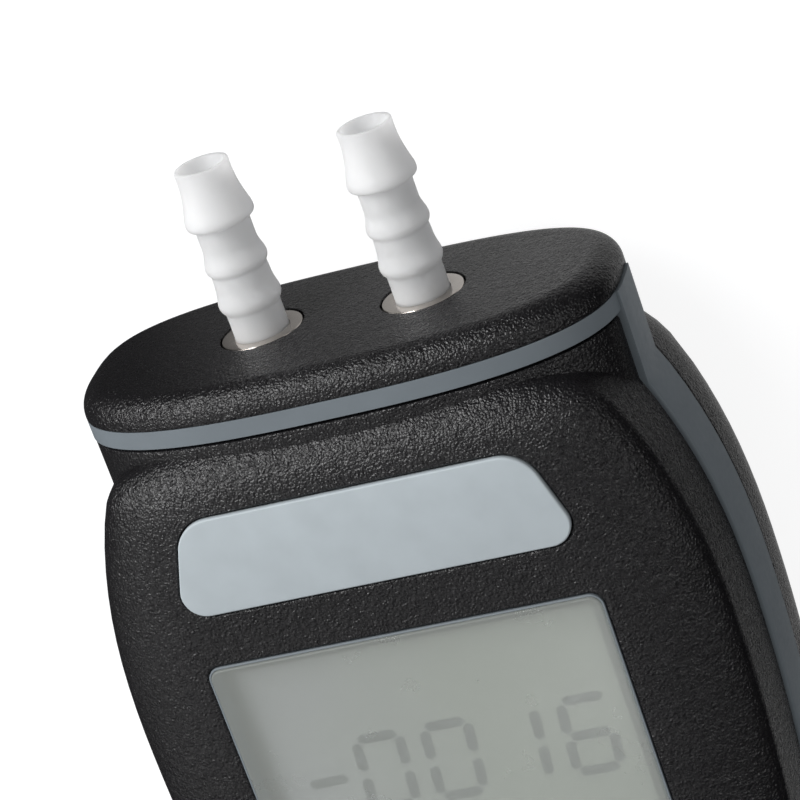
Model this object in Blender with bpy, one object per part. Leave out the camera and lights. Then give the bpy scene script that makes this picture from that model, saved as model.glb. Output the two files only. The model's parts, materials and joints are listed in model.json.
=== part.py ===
"""A handheld differential pressure meter, modelled piece by piece and lying on its back.

+X is its right side seen from the front, +Y points towards the hose ports and +Z out of the
display. The origin lies on the resting plane, under the middle of the whole meter. Lengths are
in metres. A distance called a drop is measured from the cap's top towards the bottom end.
"""
import math

import bmesh
import bpy
from mathutils import Matrix, Vector

MM = 0.001

# Fits
GAP = 0.3 * MM
KEY_CLEARANCE = 0.35 * MM

# Walls
SIDE_WALL = 2.0 * MM
FACE_WALL = 2.5 * MM
BACK_WALL = 2.2 * MM

# Stack of pieces between the back and the face
COVER_STANDOFF = 0.2 * MM
COVER_THICKNESS = 2.4 * MM
BATTERY_THICKNESS = 17.3 * MM
BATTERY_ROOM = 1.7 * MM
BOARD_THICKNESS = 1.6 * MM
BOARD_TO_CELL = 3.3 * MM
CELL_THICKNESS = 2.8 * MM
COVER_LEVEL = COVER_STANDOFF + COVER_THICKNESS
BATTERY_LEVEL = COVER_LEVEL + GAP
BOARD_BOTTOM = BATTERY_LEVEL + BATTERY_THICKNESS + BATTERY_ROOM
BOARD_TOP = BOARD_BOTTOM + BOARD_THICKNESS
CELL_BOTTOM = BOARD_TOP + BOARD_TO_CELL
CELL_TOP = CELL_BOTTOM + CELL_THICKNESS
FACE_INSIDE = CELL_TOP + GAP
FACE_HEIGHT = FACE_INSIDE + FACE_WALL

# Ports: spacing and the height of their axes
PORT_PITCH = 18.0 * MM
PORT_REACH = 19.5 * MM
FACE_RISE = 16.9 * MM
PORT_HEIGHT = FACE_HEIGHT - FACE_RISE

# Head: oval outline of cap, band and neck
HEAD_SIDE = 20.6 * MM
NECK_STEP = 1.8 * MM
BACK_STEP = 1.3 * MM
HEAD_FRONT_POWER = 2.7
HEAD_BACK_POWER = 3.0
CAP_HEIGHT = 3.2 * MM
CAP_FILLET = 2.8 * MM
CAP_SKIRT_DROP = 10.5 * MM
CAP_SKIRT_WALL = 1.8 * MM
BAND_WIDTH = 1.75 * MM
NECK_INSET = 0.1 * MM
NECK_LENGTH = 16.0 * MM
TRIM_WIDTH = 7.0 * MM
TRIM_PROUD = 0.3 * MM
HEAD_HALF = PORT_PITCH / 2 + HEAD_SIDE
HEAD_FRONT = FACE_RISE - NECK_STEP
HEAD_BACK = PORT_HEIGHT - BACK_STEP
BAND_TOP_DROP = CAP_HEIGHT + GAP
BAND_BOTTOM_DROP = BAND_TOP_DROP + BAND_WIDTH
NECK_TOP_DROP = BAND_BOTTOM_DROP + GAP
FRONT_PART_LINE = PORT_HEIGHT + TRIM_WIDTH / 2
BACK_PART_LINE = PORT_HEIGHT - TRIM_WIDTH / 2

# Case: the body's plan, waisted below the display
CASE_LENGTH = 148.0 * MM
BODY_TOP_DROP = 5.9 * MM
SHOULDER_DROP = 13.0 * MM
SHOULDER_SET_IN = 0.1 * MM
DISPLAY_DROP = 41.4 * MM
DISPLAY_BULGE = 4.6 * MM
GRIP_LENGTH = 42.0 * MM
GRIP_BULGE = 0.7 * MM
BULGE_POWER = 2.5
TOP_CORNER = 6.5 * MM
TOP_CORNER_GROWTH = 0.4
TOP_CORNER_POWER = 4.0
BOTTOM_CORNER = 15.0 * MM
BOTTOM_CORNER_POWER = 2.6
SIDE_LEAN = 0.075
SHOULDER_HALF = HEAD_HALF - SHOULDER_SET_IN
DISPLAY_HALF = SHOULDER_HALF + DISPLAY_BULGE
GRIP_HALF = SHOULDER_HALF + GRIP_BULGE
GRIP_DROP = CASE_LENGTH - GRIP_LENGTH

# Case: rounding of the body's front and back edges
FRONT_ROUND_SIDE = 11.0 * MM
FRONT_ROUND_END = 6.4 * MM
FRONT_ROUND_RISE = 5.0 * MM
BACK_ROUND_SIDE = 8.0 * MM
BACK_ROUND_END = 7.0 * MM
BACK_ROUND_RISE = 9.3 * MM

# Ports: disc, barb, seal and clamp
PORT_FACE_DROP = 0.15 * MM
DISC_RADIUS = 4.43 * MM
DISC_THICKNESS = 1.0 * MM
BARB_STEM = 2.87 * MM
BARB_RING = 3.4 * MM
BARB_SHOULDER = 3.70 * MM
BARB_TIP = 2.93 * MM
BARB_BORE = 2.05 * MM
BARB_MOUTH = 2.5 * MM
BARB_MOUTH_DEPTH = 1.2 * MM
BARB_RING_LENGTH = 2.1 * MM
BARB_SHOULDER_RISE = 12.9 * MM
BARB_UPPER_RING_RISE = 8.45 * MM
BARB_LOWER_RING_RISE = 4.1 * MM
BARB_FLANGE = 4.9 * MM
BARB_FLANGE_THICKNESS = 1.2 * MM
BARB_TAIL = 1.9 * MM
BARB_TAIL_BORE = 1.1 * MM
BARB_TAIL_LENGTH = 7.6 * MM
SEAL_THICKNESS = 0.9 * MM
CLAMP_THICKNESS = 1.5 * MM
CLAMP_SHARE = 0.4
CLAMP_SCREW_SIDE = 8.5 * MM
CLAMP_END = 3.2 * MM
CLAMP_SCREW_OFFSET = PORT_PITCH / 2 + CLAMP_SCREW_SIDE
CLAMP_HALF_WIDTH = HEAD_BACK * CLAMP_SHARE
FLANGE_DROP = CAP_HEIGHT + SEAL_THICKNESS + 2 * GAP
CLAMP_DROP = FLANGE_DROP + BARB_FLANGE_THICKNESS + GAP
TAIL_END_DROP = CLAMP_DROP + CLAMP_THICKNESS + BARB_TAIL_LENGTH

# Label plate
LABEL_TOP_DROP = 12.45 * MM
LABEL_LENGTH = 10.55 * MM
LABEL_SIDE_TOP = 10.9 * MM
LABEL_SIDE_BOTTOM = 7.5 * MM
LABEL_TOP_CORNER = 4.0 * MM
LABEL_BOTTOM_CORNER = 2.4 * MM
LABEL_THICKNESS = 1.0 * MM
LABEL_PROUD = 0.3 * MM
LABEL_BOTTOM_DROP = LABEL_TOP_DROP + LABEL_LENGTH
LABEL_HALF_TOP = SHOULDER_HALF - LABEL_SIDE_TOP
LABEL_HALF_BOTTOM = SHOULDER_HALF - LABEL_SIDE_BOTTOM

# Display
LABEL_TO_WINDOW = 6.5 * MM
WINDOW_SIDE = 12.6 * MM
WINDOW_LENGTH = 34.0 * MM
WINDOW_CORNER = 1.2 * MM
WINDOW_THICKNESS = 1.6 * MM
WINDOW_PROUD = 0.3 * MM
WINDOW_LEDGE = 1.5 * MM
CELL_MARGIN = 0.9 * MM
FRAME_WALL = 1.5 * MM
FRAME_SET_BACK = 1.0 * MM
ELASTOMER_WIDTH = 2.2 * MM
ELASTOMER_SET_BACK = 2.4 * MM
WINDOW_TOP_DROP = LABEL_BOTTOM_DROP + LABEL_TO_WINDOW
WINDOW_BOTTOM_DROP = WINDOW_TOP_DROP + WINDOW_LENGTH
WINDOW_HALF = DISPLAY_HALF - WINDOW_SIDE
CELL_HALF = WINDOW_HALF + CELL_MARGIN
CELL_TOP_DROP = WINDOW_TOP_DROP - CELL_MARGIN
CELL_BOTTOM_DROP = WINDOW_BOTTOM_DROP + CELL_MARGIN

# Screws and bosses
SCREW_SHANK = 1.4 * MM
SCREW_HEAD = 2.6 * MM
SCREW_HEAD_HEIGHT = 1.7 * MM
BOSS_RADIUS = 3.0 * MM
CASE_BOSS_RADIUS = 4.0 * MM
CASE_SCREW_TOP_SIDE = 10.1 * MM
CASE_SCREW_TOP_DROP = 16.0 * MM
CASE_SCREW_BOTTOM_SIDE = 9.0 * MM
CASE_SCREW_SET_BACK = 14.5 * MM
CASE_SCREW_LENGTH = 13.0 * MM
CASE_SCREW_LOW = 7.5 * MM
CASE_WEB_THICKNESS = 2.0 * MM
BOARD_SCREW_LENGTH = 6.0 * MM
COVER_SCREW_LENGTH = 7.5 * MM
COVER_SCREW_HEAD = 1.0 * MM
CLAMP_SCREW_LENGTH = 4.6 * MM
CASE_SCREW_TOP_HALF = HEAD_HALF - CASE_SCREW_TOP_SIDE
CASE_SCREW_BOTTOM_HALF = GRIP_HALF - CASE_SCREW_BOTTOM_SIDE
CASE_SCREW_BOTTOM_DROP = CASE_LENGTH - CASE_SCREW_SET_BACK
CASE_SCREW_WEB = PORT_HEIGHT - CASE_SCREW_LOW

# Main board
BOARD_SIDE = 5.2 * MM
BOARD_END_ROOM = 1.0 * MM
BOARD_CORNER = 3.0 * MM
BOARD_SCREW_INSET = 3.4 * MM
BOARD_HALF = GRIP_HALF - BOARD_SIDE
BOARD_TOP_DROP = CASE_SCREW_TOP_DROP + BOSS_RADIUS + BOARD_END_ROOM
BOARD_BOTTOM_DROP = CASE_SCREW_BOTTOM_DROP - BOSS_RADIUS - BOARD_END_ROOM
BOARD_SCREW_HALF = BOARD_HALF - BOARD_SCREW_INSET
BOARD_SCREW_TOP_DROP = BOARD_TOP_DROP + BOARD_SCREW_INSET
BOARD_SCREW_BOTTOM_DROP = BOARD_BOTTOM_DROP - BOARD_SCREW_INSET

# Sensor, its tubes and the processor beside it
NIPPLE_PITCH = 10.0 * MM
NIPPLE_LENGTH = 6.5 * MM
NIPPLE_RADIUS = 1.9 * MM
SENSOR_SIDE = 4.0 * MM
SENSOR_FOOT = 2.9 * MM
SENSOR_LENGTH = 15.0 * MM
TUBE_RUN = 12.2 * MM
TUBE_INNER = 2.2 * MM
TUBE_OUTER = 3.2 * MM
CHIP_SIZE = 11.0 * MM
CHIP_THICKNESS = 1.5 * MM
CHIP_ROOM = 2.0 * MM
SENSOR_HALF = NIPPLE_PITCH / 2 + SENSOR_SIDE
SENSOR_TOP_DROP = TAIL_END_DROP + TUBE_RUN + NIPPLE_LENGTH
CHIP_X = SENSOR_HALF + CHIP_ROOM + CHIP_SIZE / 2

# Keys
KEY_TRAVEL = 0.6 * MM
KEY_PROUD = 1.3 * MM
KEY_ROW_SPACE = 15.5 * MM
KEY_POWER_SPACE = 17.0 * MM
KEY_SIDE = 10.0 * MM
KEY_SPACE = 2.8 * MM
KEY_HALF_ALONG = 4.3 * MM
KEY_POWER_HALF = 5.6 * MM
KEY_CORNER = 3.0 * MM
KEY_FLANGE = 0.7 * MM
KEY_FLANGE_THICKNESS = 0.9 * MM
MAT_THICKNESS = 1.0 * MM
MAT_MARGIN = 4.5 * MM
MAT_CORNER = 3.0 * MM
DOME_SHARE = 0.8
KEY_HALF_ACROSS = (GRIP_HALF - KEY_SIDE - KEY_SPACE) / 3
KEY_ROW_PITCH = 2 * KEY_HALF_ACROSS + KEY_SPACE
KEY_ROW_DROP = WINDOW_BOTTOM_DROP + KEY_ROW_SPACE
KEY_POWER_DROP = KEY_ROW_DROP + KEY_POWER_SPACE
MAT_HALF = BOARD_SCREW_HALF - BOSS_RADIUS - GAP

# Battery, its clip and its cover
BATTERY_HALF = 13.25 * MM
BATTERY_LENGTH = 46.4 * MM
BATTERY_CORNER = 2.2 * MM
BATTERY_SET_BACK = 18.6 * MM
TERMINAL_OFFSET = 6.35 * MM
TERMINAL_HEIGHT = 2.2 * MM
STUD_RADIUS = 2.8 * MM
SOCKET_INNER = 3.15 * MM
SOCKET_OUTER = 3.9 * MM
CONTACT_PLATE = 0.6 * MM
CLIP_THICKNESS = 2.4 * MM
CLIP_SIDE = 1.45 * MM
CLIP_FOOT = 1.0 * MM
BAY_CLEARANCE = 0.4 * MM
BAY_WALL = 1.5 * MM
BAY_LIP = 2.2 * MM
COVER_MARGIN = 3.2 * MM
COVER_CORNER = 3.0 * MM
COVER_SCREW_ZONE = 7.0 * MM
COVER_TONGUE_HALF = 6.0 * MM
COVER_TONGUE_LENGTH = 2.2 * MM
COVER_TONGUE_THICKNESS = 0.9 * MM
BATTERY_BOTTOM_DROP = CASE_LENGTH - BATTERY_SET_BACK
BATTERY_TOP_DROP = BATTERY_BOTTOM_DROP - BATTERY_LENGTH
TERMINAL_LEVEL = BATTERY_LEVEL + BATTERY_THICKNESS / 2
CLIP_HALF = BATTERY_HALF - CLIP_SIDE
BAY_HALF = BATTERY_HALF + BAY_CLEARANCE
BAY_HEIGHT = BATTERY_LEVEL + BATTERY_THICKNESS - BAY_LIP
BAY_TOP_DROP = BATTERY_TOP_DROP - TERMINAL_HEIGHT - CLIP_THICKNESS - 4 * GAP
BAY_BOTTOM_DROP = BATTERY_BOTTOM_DROP + BAY_CLEARANCE
COVER_TOP_DROP = BAY_TOP_DROP - COVER_MARGIN
COVER_BOTTOM_DROP = BAY_BOTTOM_DROP + COVER_SCREW_ZONE
COVER_HALF = BAY_HALF + COVER_MARGIN
COVER_SCREW_DROP = BAY_BOTTOM_DROP + COVER_SCREW_ZONE / 2
BLOCK_LEVEL = COVER_LEVEL + GAP + BACK_WALL

# Facets: points round a corner, down a side, and rings up a rounded edge
OUTER_STEPS = (5, 9, 4)
INNER_STEPS = (3, 6, 3)
OVAL_POINTS = 36
TURN_STEPS = 14
PILLAR_STEPS = 10
CAP_STEPS = 4
BARB_STEPS = 12
SCREW_STEPS = 9
ARC_STEPS = 3

# The cap's top lies here, so that the origin is under the middle of the whole
CAP_Y = (CASE_LENGTH + TRIM_PROUD - PORT_REACH) / 2


def place(x, drop, height):
    """A point at a distance below the cap's top and a height above the resting plane."""
    return Vector((x, CAP_Y - drop, height))


# Colours and finishes

def linear(value):
    """One channel of a screen colour from 0 to 255, as light."""
    share = value / 255.0
    return share / 12.92 if share <= 0.04045 else ((share + 0.055) / 1.055) ** 2.4


FINISHES = {
    "black_case": ((38, 37, 39), 0.42, 0.0),
    "grey_trim": ((112, 120, 126), 0.5, 0.0),
    "pale_plate": ((182, 192, 197), 0.5, 0.0),
    "clear_window": ((236, 240, 240), 0.08, 0.0),
    "display_cell": ((150, 158, 150), 0.25, 0.0),
    "white_nylon": ((225, 226, 230), 0.35, 0.0),
    "nickel": ((176, 168, 160), 0.3, 1.0),
    "steel_screw": ((168, 168, 170), 0.35, 1.0),
    "key_grey": ((70, 73, 77), 0.55, 0.0),
    "mat_rubber": ((96, 98, 100), 0.8, 0.0),
    "seal_rubber": ((24, 24, 24), 0.7, 0.0),
    "tube_silicone": ((214, 214, 208), 0.45, 0.0),
    "board_green": ((26, 84, 56), 0.45, 0.0),
    "chip_black": ((28, 28, 30), 0.5, 0.0),
    "sensor_white": ((214, 212, 204), 0.5, 0.0),
    "holder_plastic": ((226, 226, 222), 0.5, 0.0),
    "battery_jacket": ((58, 62, 70), 0.35, 0.2),
}


def finish_material(finish):
    """The Principled material of a finish, made once."""
    found = bpy.data.materials.get(finish)
    if found:
        return found
    colour, roughness, metallic = FINISHES[finish]
    made = bpy.data.materials.new(finish)
    made.use_nodes = True
    shader = made.node_tree.nodes["Principled BSDF"]
    shader.inputs["Base Color"].default_value = (*(linear(c) for c in colour), 1.0)
    shader.inputs["Roughness"].default_value = roughness
    shader.inputs["Metallic"].default_value = metallic
    return made


# Mesh helpers

def add_solid(name, points, faces, finish):
    """A closed solid from points and faces, with its faces turned outwards."""
    mesh = bpy.data.meshes.new(name)
    mesh.from_pydata([tuple(p) for p in points], [], faces)
    work = bmesh.new()
    work.from_mesh(mesh)
    bmesh.ops.connect_verts_nonplanar(work, faces=work.faces, angle_limit=math.radians(0.5))
    bmesh.ops.recalc_face_normals(work, faces=work.faces)
    work.to_mesh(mesh)
    work.free()
    mesh.materials.append(finish_material(finish))
    solid = bpy.data.objects.new(name, mesh)
    bpy.context.scene.collection.objects.link(solid)
    return solid


def loft(name, rings, finish, looped=False):
    """A skin over rings of equal count, closed by its end rings or, if looped, on itself."""
    count = len(rings[0])
    points = [p for ring in rings for p in ring]
    spans = len(rings) if looped else len(rings) - 1
    faces = []
    for i in range(spans):
        low = i * count
        high = (i + 1) % len(rings) * count
        for j in range(count):
            k = (j + 1) % count
            faces.append((low + j, low + k, high + k, high + j))
    if not looped:
        faces.append(tuple(range(count)))
        faces.append(tuple(range((len(rings) - 1) * count, len(rings) * count)))
    return add_solid(name, points, faces, finish)


def prism(name, outline, low, high, finish):
    """An outline of (x, drop) points, extruded between two heights."""
    rings = [[place(x, drop, level) for x, drop in outline] for level in (low, high)]
    return loft(name, rings, finish)


def turned(name, profile, centre, along, finish, steps=TURN_STEPS, hollow=False):
    """A profile of (radius, rise) points turned about an axis through centre.

    A hollow profile is a closed loop clear of the axis; any other ends in flat caps.
    """
    axis = Vector(along)
    side = axis.orthogonal().normalized()
    other = axis.cross(side)
    rings = []
    for radius, rise in profile:
        ring = []
        for k in range(steps):
            angle = 2 * math.pi * (k + 0.5) / steps
            spoke = side * math.cos(angle) + other * math.sin(angle)
            ring.append(centre + axis * rise + spoke * radius)
        rings.append(ring)
    return loft(name, rings, finish, looped=hollow)


def rounded(corners, steps=ARC_STEPS):
    """An outline whose corners (x, drop, radius) are eased by arcs."""
    outline = []
    for i, (x, drop, radius) in enumerate(corners):
        here = Vector((x, drop))
        before = (Vector(corners[i - 1][:2]) - here).normalized()
        after = (Vector(corners[(i + 1) % len(corners)][:2]) - here).normalized()
        if radius <= 0:
            outline.append((x, drop))
            continue
        half = before.angle(after) / 2
        centre = here + (before + after).normalized() * (radius / math.sin(half))
        start = here + before * (radius / math.tan(half)) - centre
        turn = math.pi - 2 * half
        sign = 1.0 if before.cross(after) < 0 else -1.0
        for k in range(steps + 1):
            point = centre + Matrix.Rotation(sign * turn * k / steps, 2) @ start
            outline.append((point.x, point.y))
    return outline


def rounded_box(half, top, bottom, radius, centre=0.0, steps=ARC_STEPS):
    """A rounded rectangle between two drops, as an outline."""
    return rounded([
        (centre - half, top, radius),
        (centre + half, top, radius),
        (centre + half, bottom, radius),
        (centre - half, bottom, radius),
    ], steps)


def box(name, half, top, bottom, low, high, finish, centre=0.0):
    """A plain block between two drops and two heights."""
    outline = rounded_box(half, top, bottom, 0.0, centre)
    return prism(name, outline, low, high, finish)


def settle(solid):
    """Replace a solid's mesh by the shape that its modifiers give."""
    graph = bpy.context.evaluated_depsgraph_get()
    mesh = bpy.data.meshes.new_from_object(solid.evaluated_get(graph))
    solid.modifiers.clear()
    solid.data = mesh


def combine(solid, tool, operation):
    """Join, cut or intersect a solid with a tool, which is used up."""
    modifier = solid.modifiers.new(operation.lower(), "BOOLEAN")
    modifier.operation = operation
    modifier.object = tool
    settle(solid)
    bpy.data.objects.remove(tool)
    return solid


def join(solid, *tools):
    """Fuse tools into a solid."""
    for tool in tools:
        combine(solid, tool, "UNION")
    return solid


def cut(solid, *tools):
    """Take tools out of a solid."""
    for tool in tools:
        combine(solid, tool, "DIFFERENCE")
    return solid


def keep(solid, tool):
    """Keep the part of a solid that lies inside a tool."""
    return combine(solid, tool, "INTERSECT")


def ease(solid, width, steps=2):
    """Ease a solid's sharp edges with a live bevel."""
    bevel = solid.modifiers.new("ease", "BEVEL")
    bevel.width = width
    bevel.segments = steps
    bevel.limit_method = "ANGLE"
    bevel.angle_limit = math.radians(50)
    return solid


# Case outlines

def body_half_width(drop):
    """Half the body's width at the port axes' height."""
    if drop < DISPLAY_DROP:
        share = (DISPLAY_DROP - drop) / (DISPLAY_DROP - SHOULDER_DROP)
        return DISPLAY_HALF - (DISPLAY_HALF - SHOULDER_HALF) * share ** BULGE_POWER
    share = min((drop - DISPLAY_DROP) / (GRIP_DROP - DISPLAY_DROP), 1.0)
    return GRIP_HALF + (DISPLAY_HALF - GRIP_HALF) * (1 + math.cos(math.pi * share)) / 2


def top_corner(level):
    """Size of the body's top corners at one height: they widen towards the back."""
    return TOP_CORNER + TOP_CORNER_GROWTH * max(FRONT_PART_LINE - level, 0.0)


def body_stations(end_inset, corner, steps):
    """Pairs of (share of the half width, drop) down the body's right side."""
    corner_steps, side_steps, _ = steps
    top = BODY_TOP_DROP + end_inset
    bottom = CASE_LENGTH - end_inset
    stations = []
    for k in range(corner_steps + 1):
        angle = math.pi / 2 * k / corner_steps
        share = math.sin(angle) ** (2 / TOP_CORNER_POWER)
        reach = math.cos(angle) ** (2 / TOP_CORNER_POWER)
        stations.append((share, top + corner * (1 - reach)))
    start = top + corner
    run = bottom - BOTTOM_CORNER - start
    stations += [(1.0, start + run * k / side_steps) for k in range(1, side_steps)]
    for k in range(corner_steps, -1, -1):
        angle = math.pi / 2 * k / corner_steps
        share = math.sin(angle) ** (2 / BOTTOM_CORNER_POWER)
        reach = math.cos(angle) ** (2 / BOTTOM_CORNER_POWER)
        stations.append((share, bottom - BOTTOM_CORNER * (1 - reach)))
    return stations


def body_ring(level, side_inset, end_inset, steps=OUTER_STEPS):
    """Points round the body at one height."""
    lean = SIDE_LEAN * (level - PORT_HEIGHT)
    right = []
    for share, drop in body_stations(end_inset, top_corner(level), steps):
        half = body_half_width(drop) - side_inset - lean
        right.append((share * half, drop))
    left = [(-x, drop) for x, drop in right[-2:0:-1]]
    return [place(x, drop, level) for x, drop in right + left]


def body_solid(name, side_wall=0.0, back_wall=0.0, face_wall=0.0, steps=OUTER_STEPS):
    """The body's rounded form, drawn in by the walls given."""
    face = FACE_HEIGHT - face_wall
    turns = [math.pi / 2 * k / steps[2] for k in range(steps[2] + 1)]
    rings = []
    for angle in reversed(turns):
        draw = 1 - math.cos(angle)
        level = back_wall + (BACK_ROUND_RISE - back_wall) * (1 - math.sin(angle))
        side = side_wall + (BACK_ROUND_SIDE - side_wall) * draw
        end = side_wall + (BACK_ROUND_END - side_wall) * draw
        rings.append(body_ring(level, side, end, steps))
    for angle in turns:
        draw = 1 - math.cos(angle)
        level = face - (FRONT_ROUND_RISE - face_wall) * (1 - math.sin(angle))
        side = side_wall + (FRONT_ROUND_SIDE - side_wall) * draw
        end = side_wall + (FRONT_ROUND_END - side_wall) * draw
        rings.append(body_ring(level, side, end, steps))
    return loft(name, rings, "black_case")


def oval(inset, drop):
    """Points round the head's oval at one drop."""
    points = []
    for k in range(OVAL_POINTS):
        angle = 2 * math.pi * (k + 0.5) / OVAL_POINTS
        across, out = math.cos(angle), math.sin(angle)
        front = out >= 0
        power = 2 / (HEAD_FRONT_POWER if front else HEAD_BACK_POWER)
        depth = (HEAD_FRONT if front else HEAD_BACK) - inset
        x = (HEAD_HALF - inset) * math.copysign(abs(across) ** power, across)
        z = depth * math.copysign(abs(out) ** power, out)
        points.append(place(x, drop, PORT_HEIGHT + z))
    return points


def oval_solid(name, inset, top, bottom, finish="black_case"):
    """The head's oval, drawn in by an inset, between two drops."""
    return loft(name, [oval(inset, top), oval(inset, bottom)], finish)


def cavity(name):
    """The hollow shared by both shells and the trim frame."""
    hollow = body_solid(name, SIDE_WALL, BACK_WALL, FACE_WALL, INNER_STEPS)
    neck = oval_solid("neck_hollow", NECK_INSET + SIDE_WALL, 0.0, NECK_LENGTH + SIDE_WALL)
    return join(hollow, neck)


def half_case(name, low, high):
    """Body and neck between two heights, with the hollow taken out."""
    shell = body_solid(name)
    join(shell, oval_solid("neck", NECK_INSET, NECK_TOP_DROP, NECK_LENGTH))
    keep(shell, slab("half", low, high))
    return cut(shell, cavity("hollow"))


# Shells and trim

def slab(name, low, high):
    """A block wider than the case between two heights."""
    return box(name, 2 * DISPLAY_HALF, -CASE_LENGTH, 2 * CASE_LENGTH, low, high, "black_case")


def label_outline(grow=0.0):
    """The plate's outline, wider towards the display."""
    slope = (LABEL_HALF_BOTTOM - LABEL_HALF_TOP) / LABEL_LENGTH
    top = LABEL_TOP_DROP - grow
    bottom = LABEL_BOTTOM_DROP + grow
    half_top = LABEL_HALF_TOP + grow * (1 - slope)
    half_bottom = LABEL_HALF_BOTTOM + grow * (1 + slope)
    return rounded([
        (-half_top, top, LABEL_TOP_CORNER + grow),
        (half_top, top, LABEL_TOP_CORNER + grow),
        (half_bottom, bottom, LABEL_BOTTOM_CORNER + grow),
        (-half_bottom, bottom, LABEL_BOTTOM_CORNER + grow),
    ], 5)


def window_outline(grow=0.0):
    """The window's outline."""
    return rounded_box(
        WINDOW_HALF + grow,
        WINDOW_TOP_DROP - grow,
        WINDOW_BOTTOM_DROP + grow,
        max(WINDOW_CORNER + grow, 0.2 * MM),
        steps=3,
    )


KEYS = {
    "key_hold": (-KEY_ROW_PITCH, KEY_ROW_DROP, KEY_HALF_ACROSS, KEY_HALF_ALONG),
    "key_zero": (0.0, KEY_ROW_DROP, KEY_HALF_ACROSS, KEY_HALF_ALONG),
    "key_units": (KEY_ROW_PITCH, KEY_ROW_DROP, KEY_HALF_ACROSS, KEY_HALF_ALONG),
    "key_power": (0.0, KEY_POWER_DROP, KEY_POWER_HALF, KEY_POWER_HALF),
}


def key_outline(name, grow=0.0):
    """One key's outline, grown for its opening or its flange."""
    across, drop, half, along = KEYS[name]
    radius = min(KEY_CORNER, half, along) + grow
    return rounded_box(half + grow, drop - along - grow, drop + along + grow, radius, across)


def both_sides(half, drop):
    """Two places, left and right at one drop."""
    return [(-half, drop), (half, drop)]


CASE_SCREWS = (both_sides(CASE_SCREW_TOP_HALF, CASE_SCREW_TOP_DROP)
               + both_sides(CASE_SCREW_BOTTOM_HALF, CASE_SCREW_BOTTOM_DROP))
BOARD_SCREWS = (both_sides(BOARD_SCREW_HALF, BOARD_SCREW_TOP_DROP)
                + both_sides(BOARD_SCREW_HALF, BOARD_SCREW_BOTTOM_DROP))


def pillar(name, x, drop, low, high, radius, finish="black_case"):
    """A round pillar or hole along Z."""
    profile = [(radius, 0.0), (radius, high - low)]
    return turned(name, profile, place(x, drop, low), (0, 0, 1), finish, PILLAR_STEPS)


def rooted(solid):
    """Trim a boss to stay under the body's outer skin."""
    core = body_solid("core", SIDE_WALL / 2, BACK_WALL / 2, FACE_WALL / 2, INNER_STEPS)
    return keep(solid, core)


def make_front_shell():
    """The front half: face openings, recesses and the bosses behind the face."""
    shell = half_case("front_shell", FRONT_PART_LINE + GAP, 2 * FACE_HEIGHT)
    root = FACE_HEIGHT
    for x, drop in CASE_SCREWS:
        low = CASE_SCREW_WEB + CASE_WEB_THICKNESS + GAP
        join(shell, rooted(pillar("boss", x, drop, low, root, BOSS_RADIUS)))
        cut(shell, pillar("pilot", x, drop, low - GAP, low + CASE_SCREW_LENGTH, SCREW_SHANK + GAP))
    for x, drop in BOARD_SCREWS:
        low = BOARD_TOP + GAP
        join(shell, rooted(pillar("boss", x, drop, low, root, BOSS_RADIUS)))
        cut(shell, pillar("pilot", x, drop, low - GAP, low + BOARD_SCREW_LENGTH - BOARD_THICKNESS,
                          SCREW_SHANK + GAP))
    above = FACE_HEIGHT + SIDE_WALL
    label_floor = FACE_HEIGHT + LABEL_PROUD - LABEL_THICKNESS - GAP
    window_floor = FACE_HEIGHT + WINDOW_PROUD - WINDOW_THICKNESS - GAP
    cut(shell, prism("label_recess", label_outline(GAP), label_floor, above, "black_case"))
    cut(shell, prism("window_recess", window_outline(GAP), window_floor, above, "black_case"))
    cut(shell, prism("aperture", window_outline(-WINDOW_LEDGE), FACE_INSIDE - GAP, above,
                     "black_case"))
    for key in KEYS:
        cut(shell, prism("key_opening", key_outline(key, KEY_CLEARANCE), FACE_INSIDE - GAP, above,
                         "black_case"))
    return shell


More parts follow.
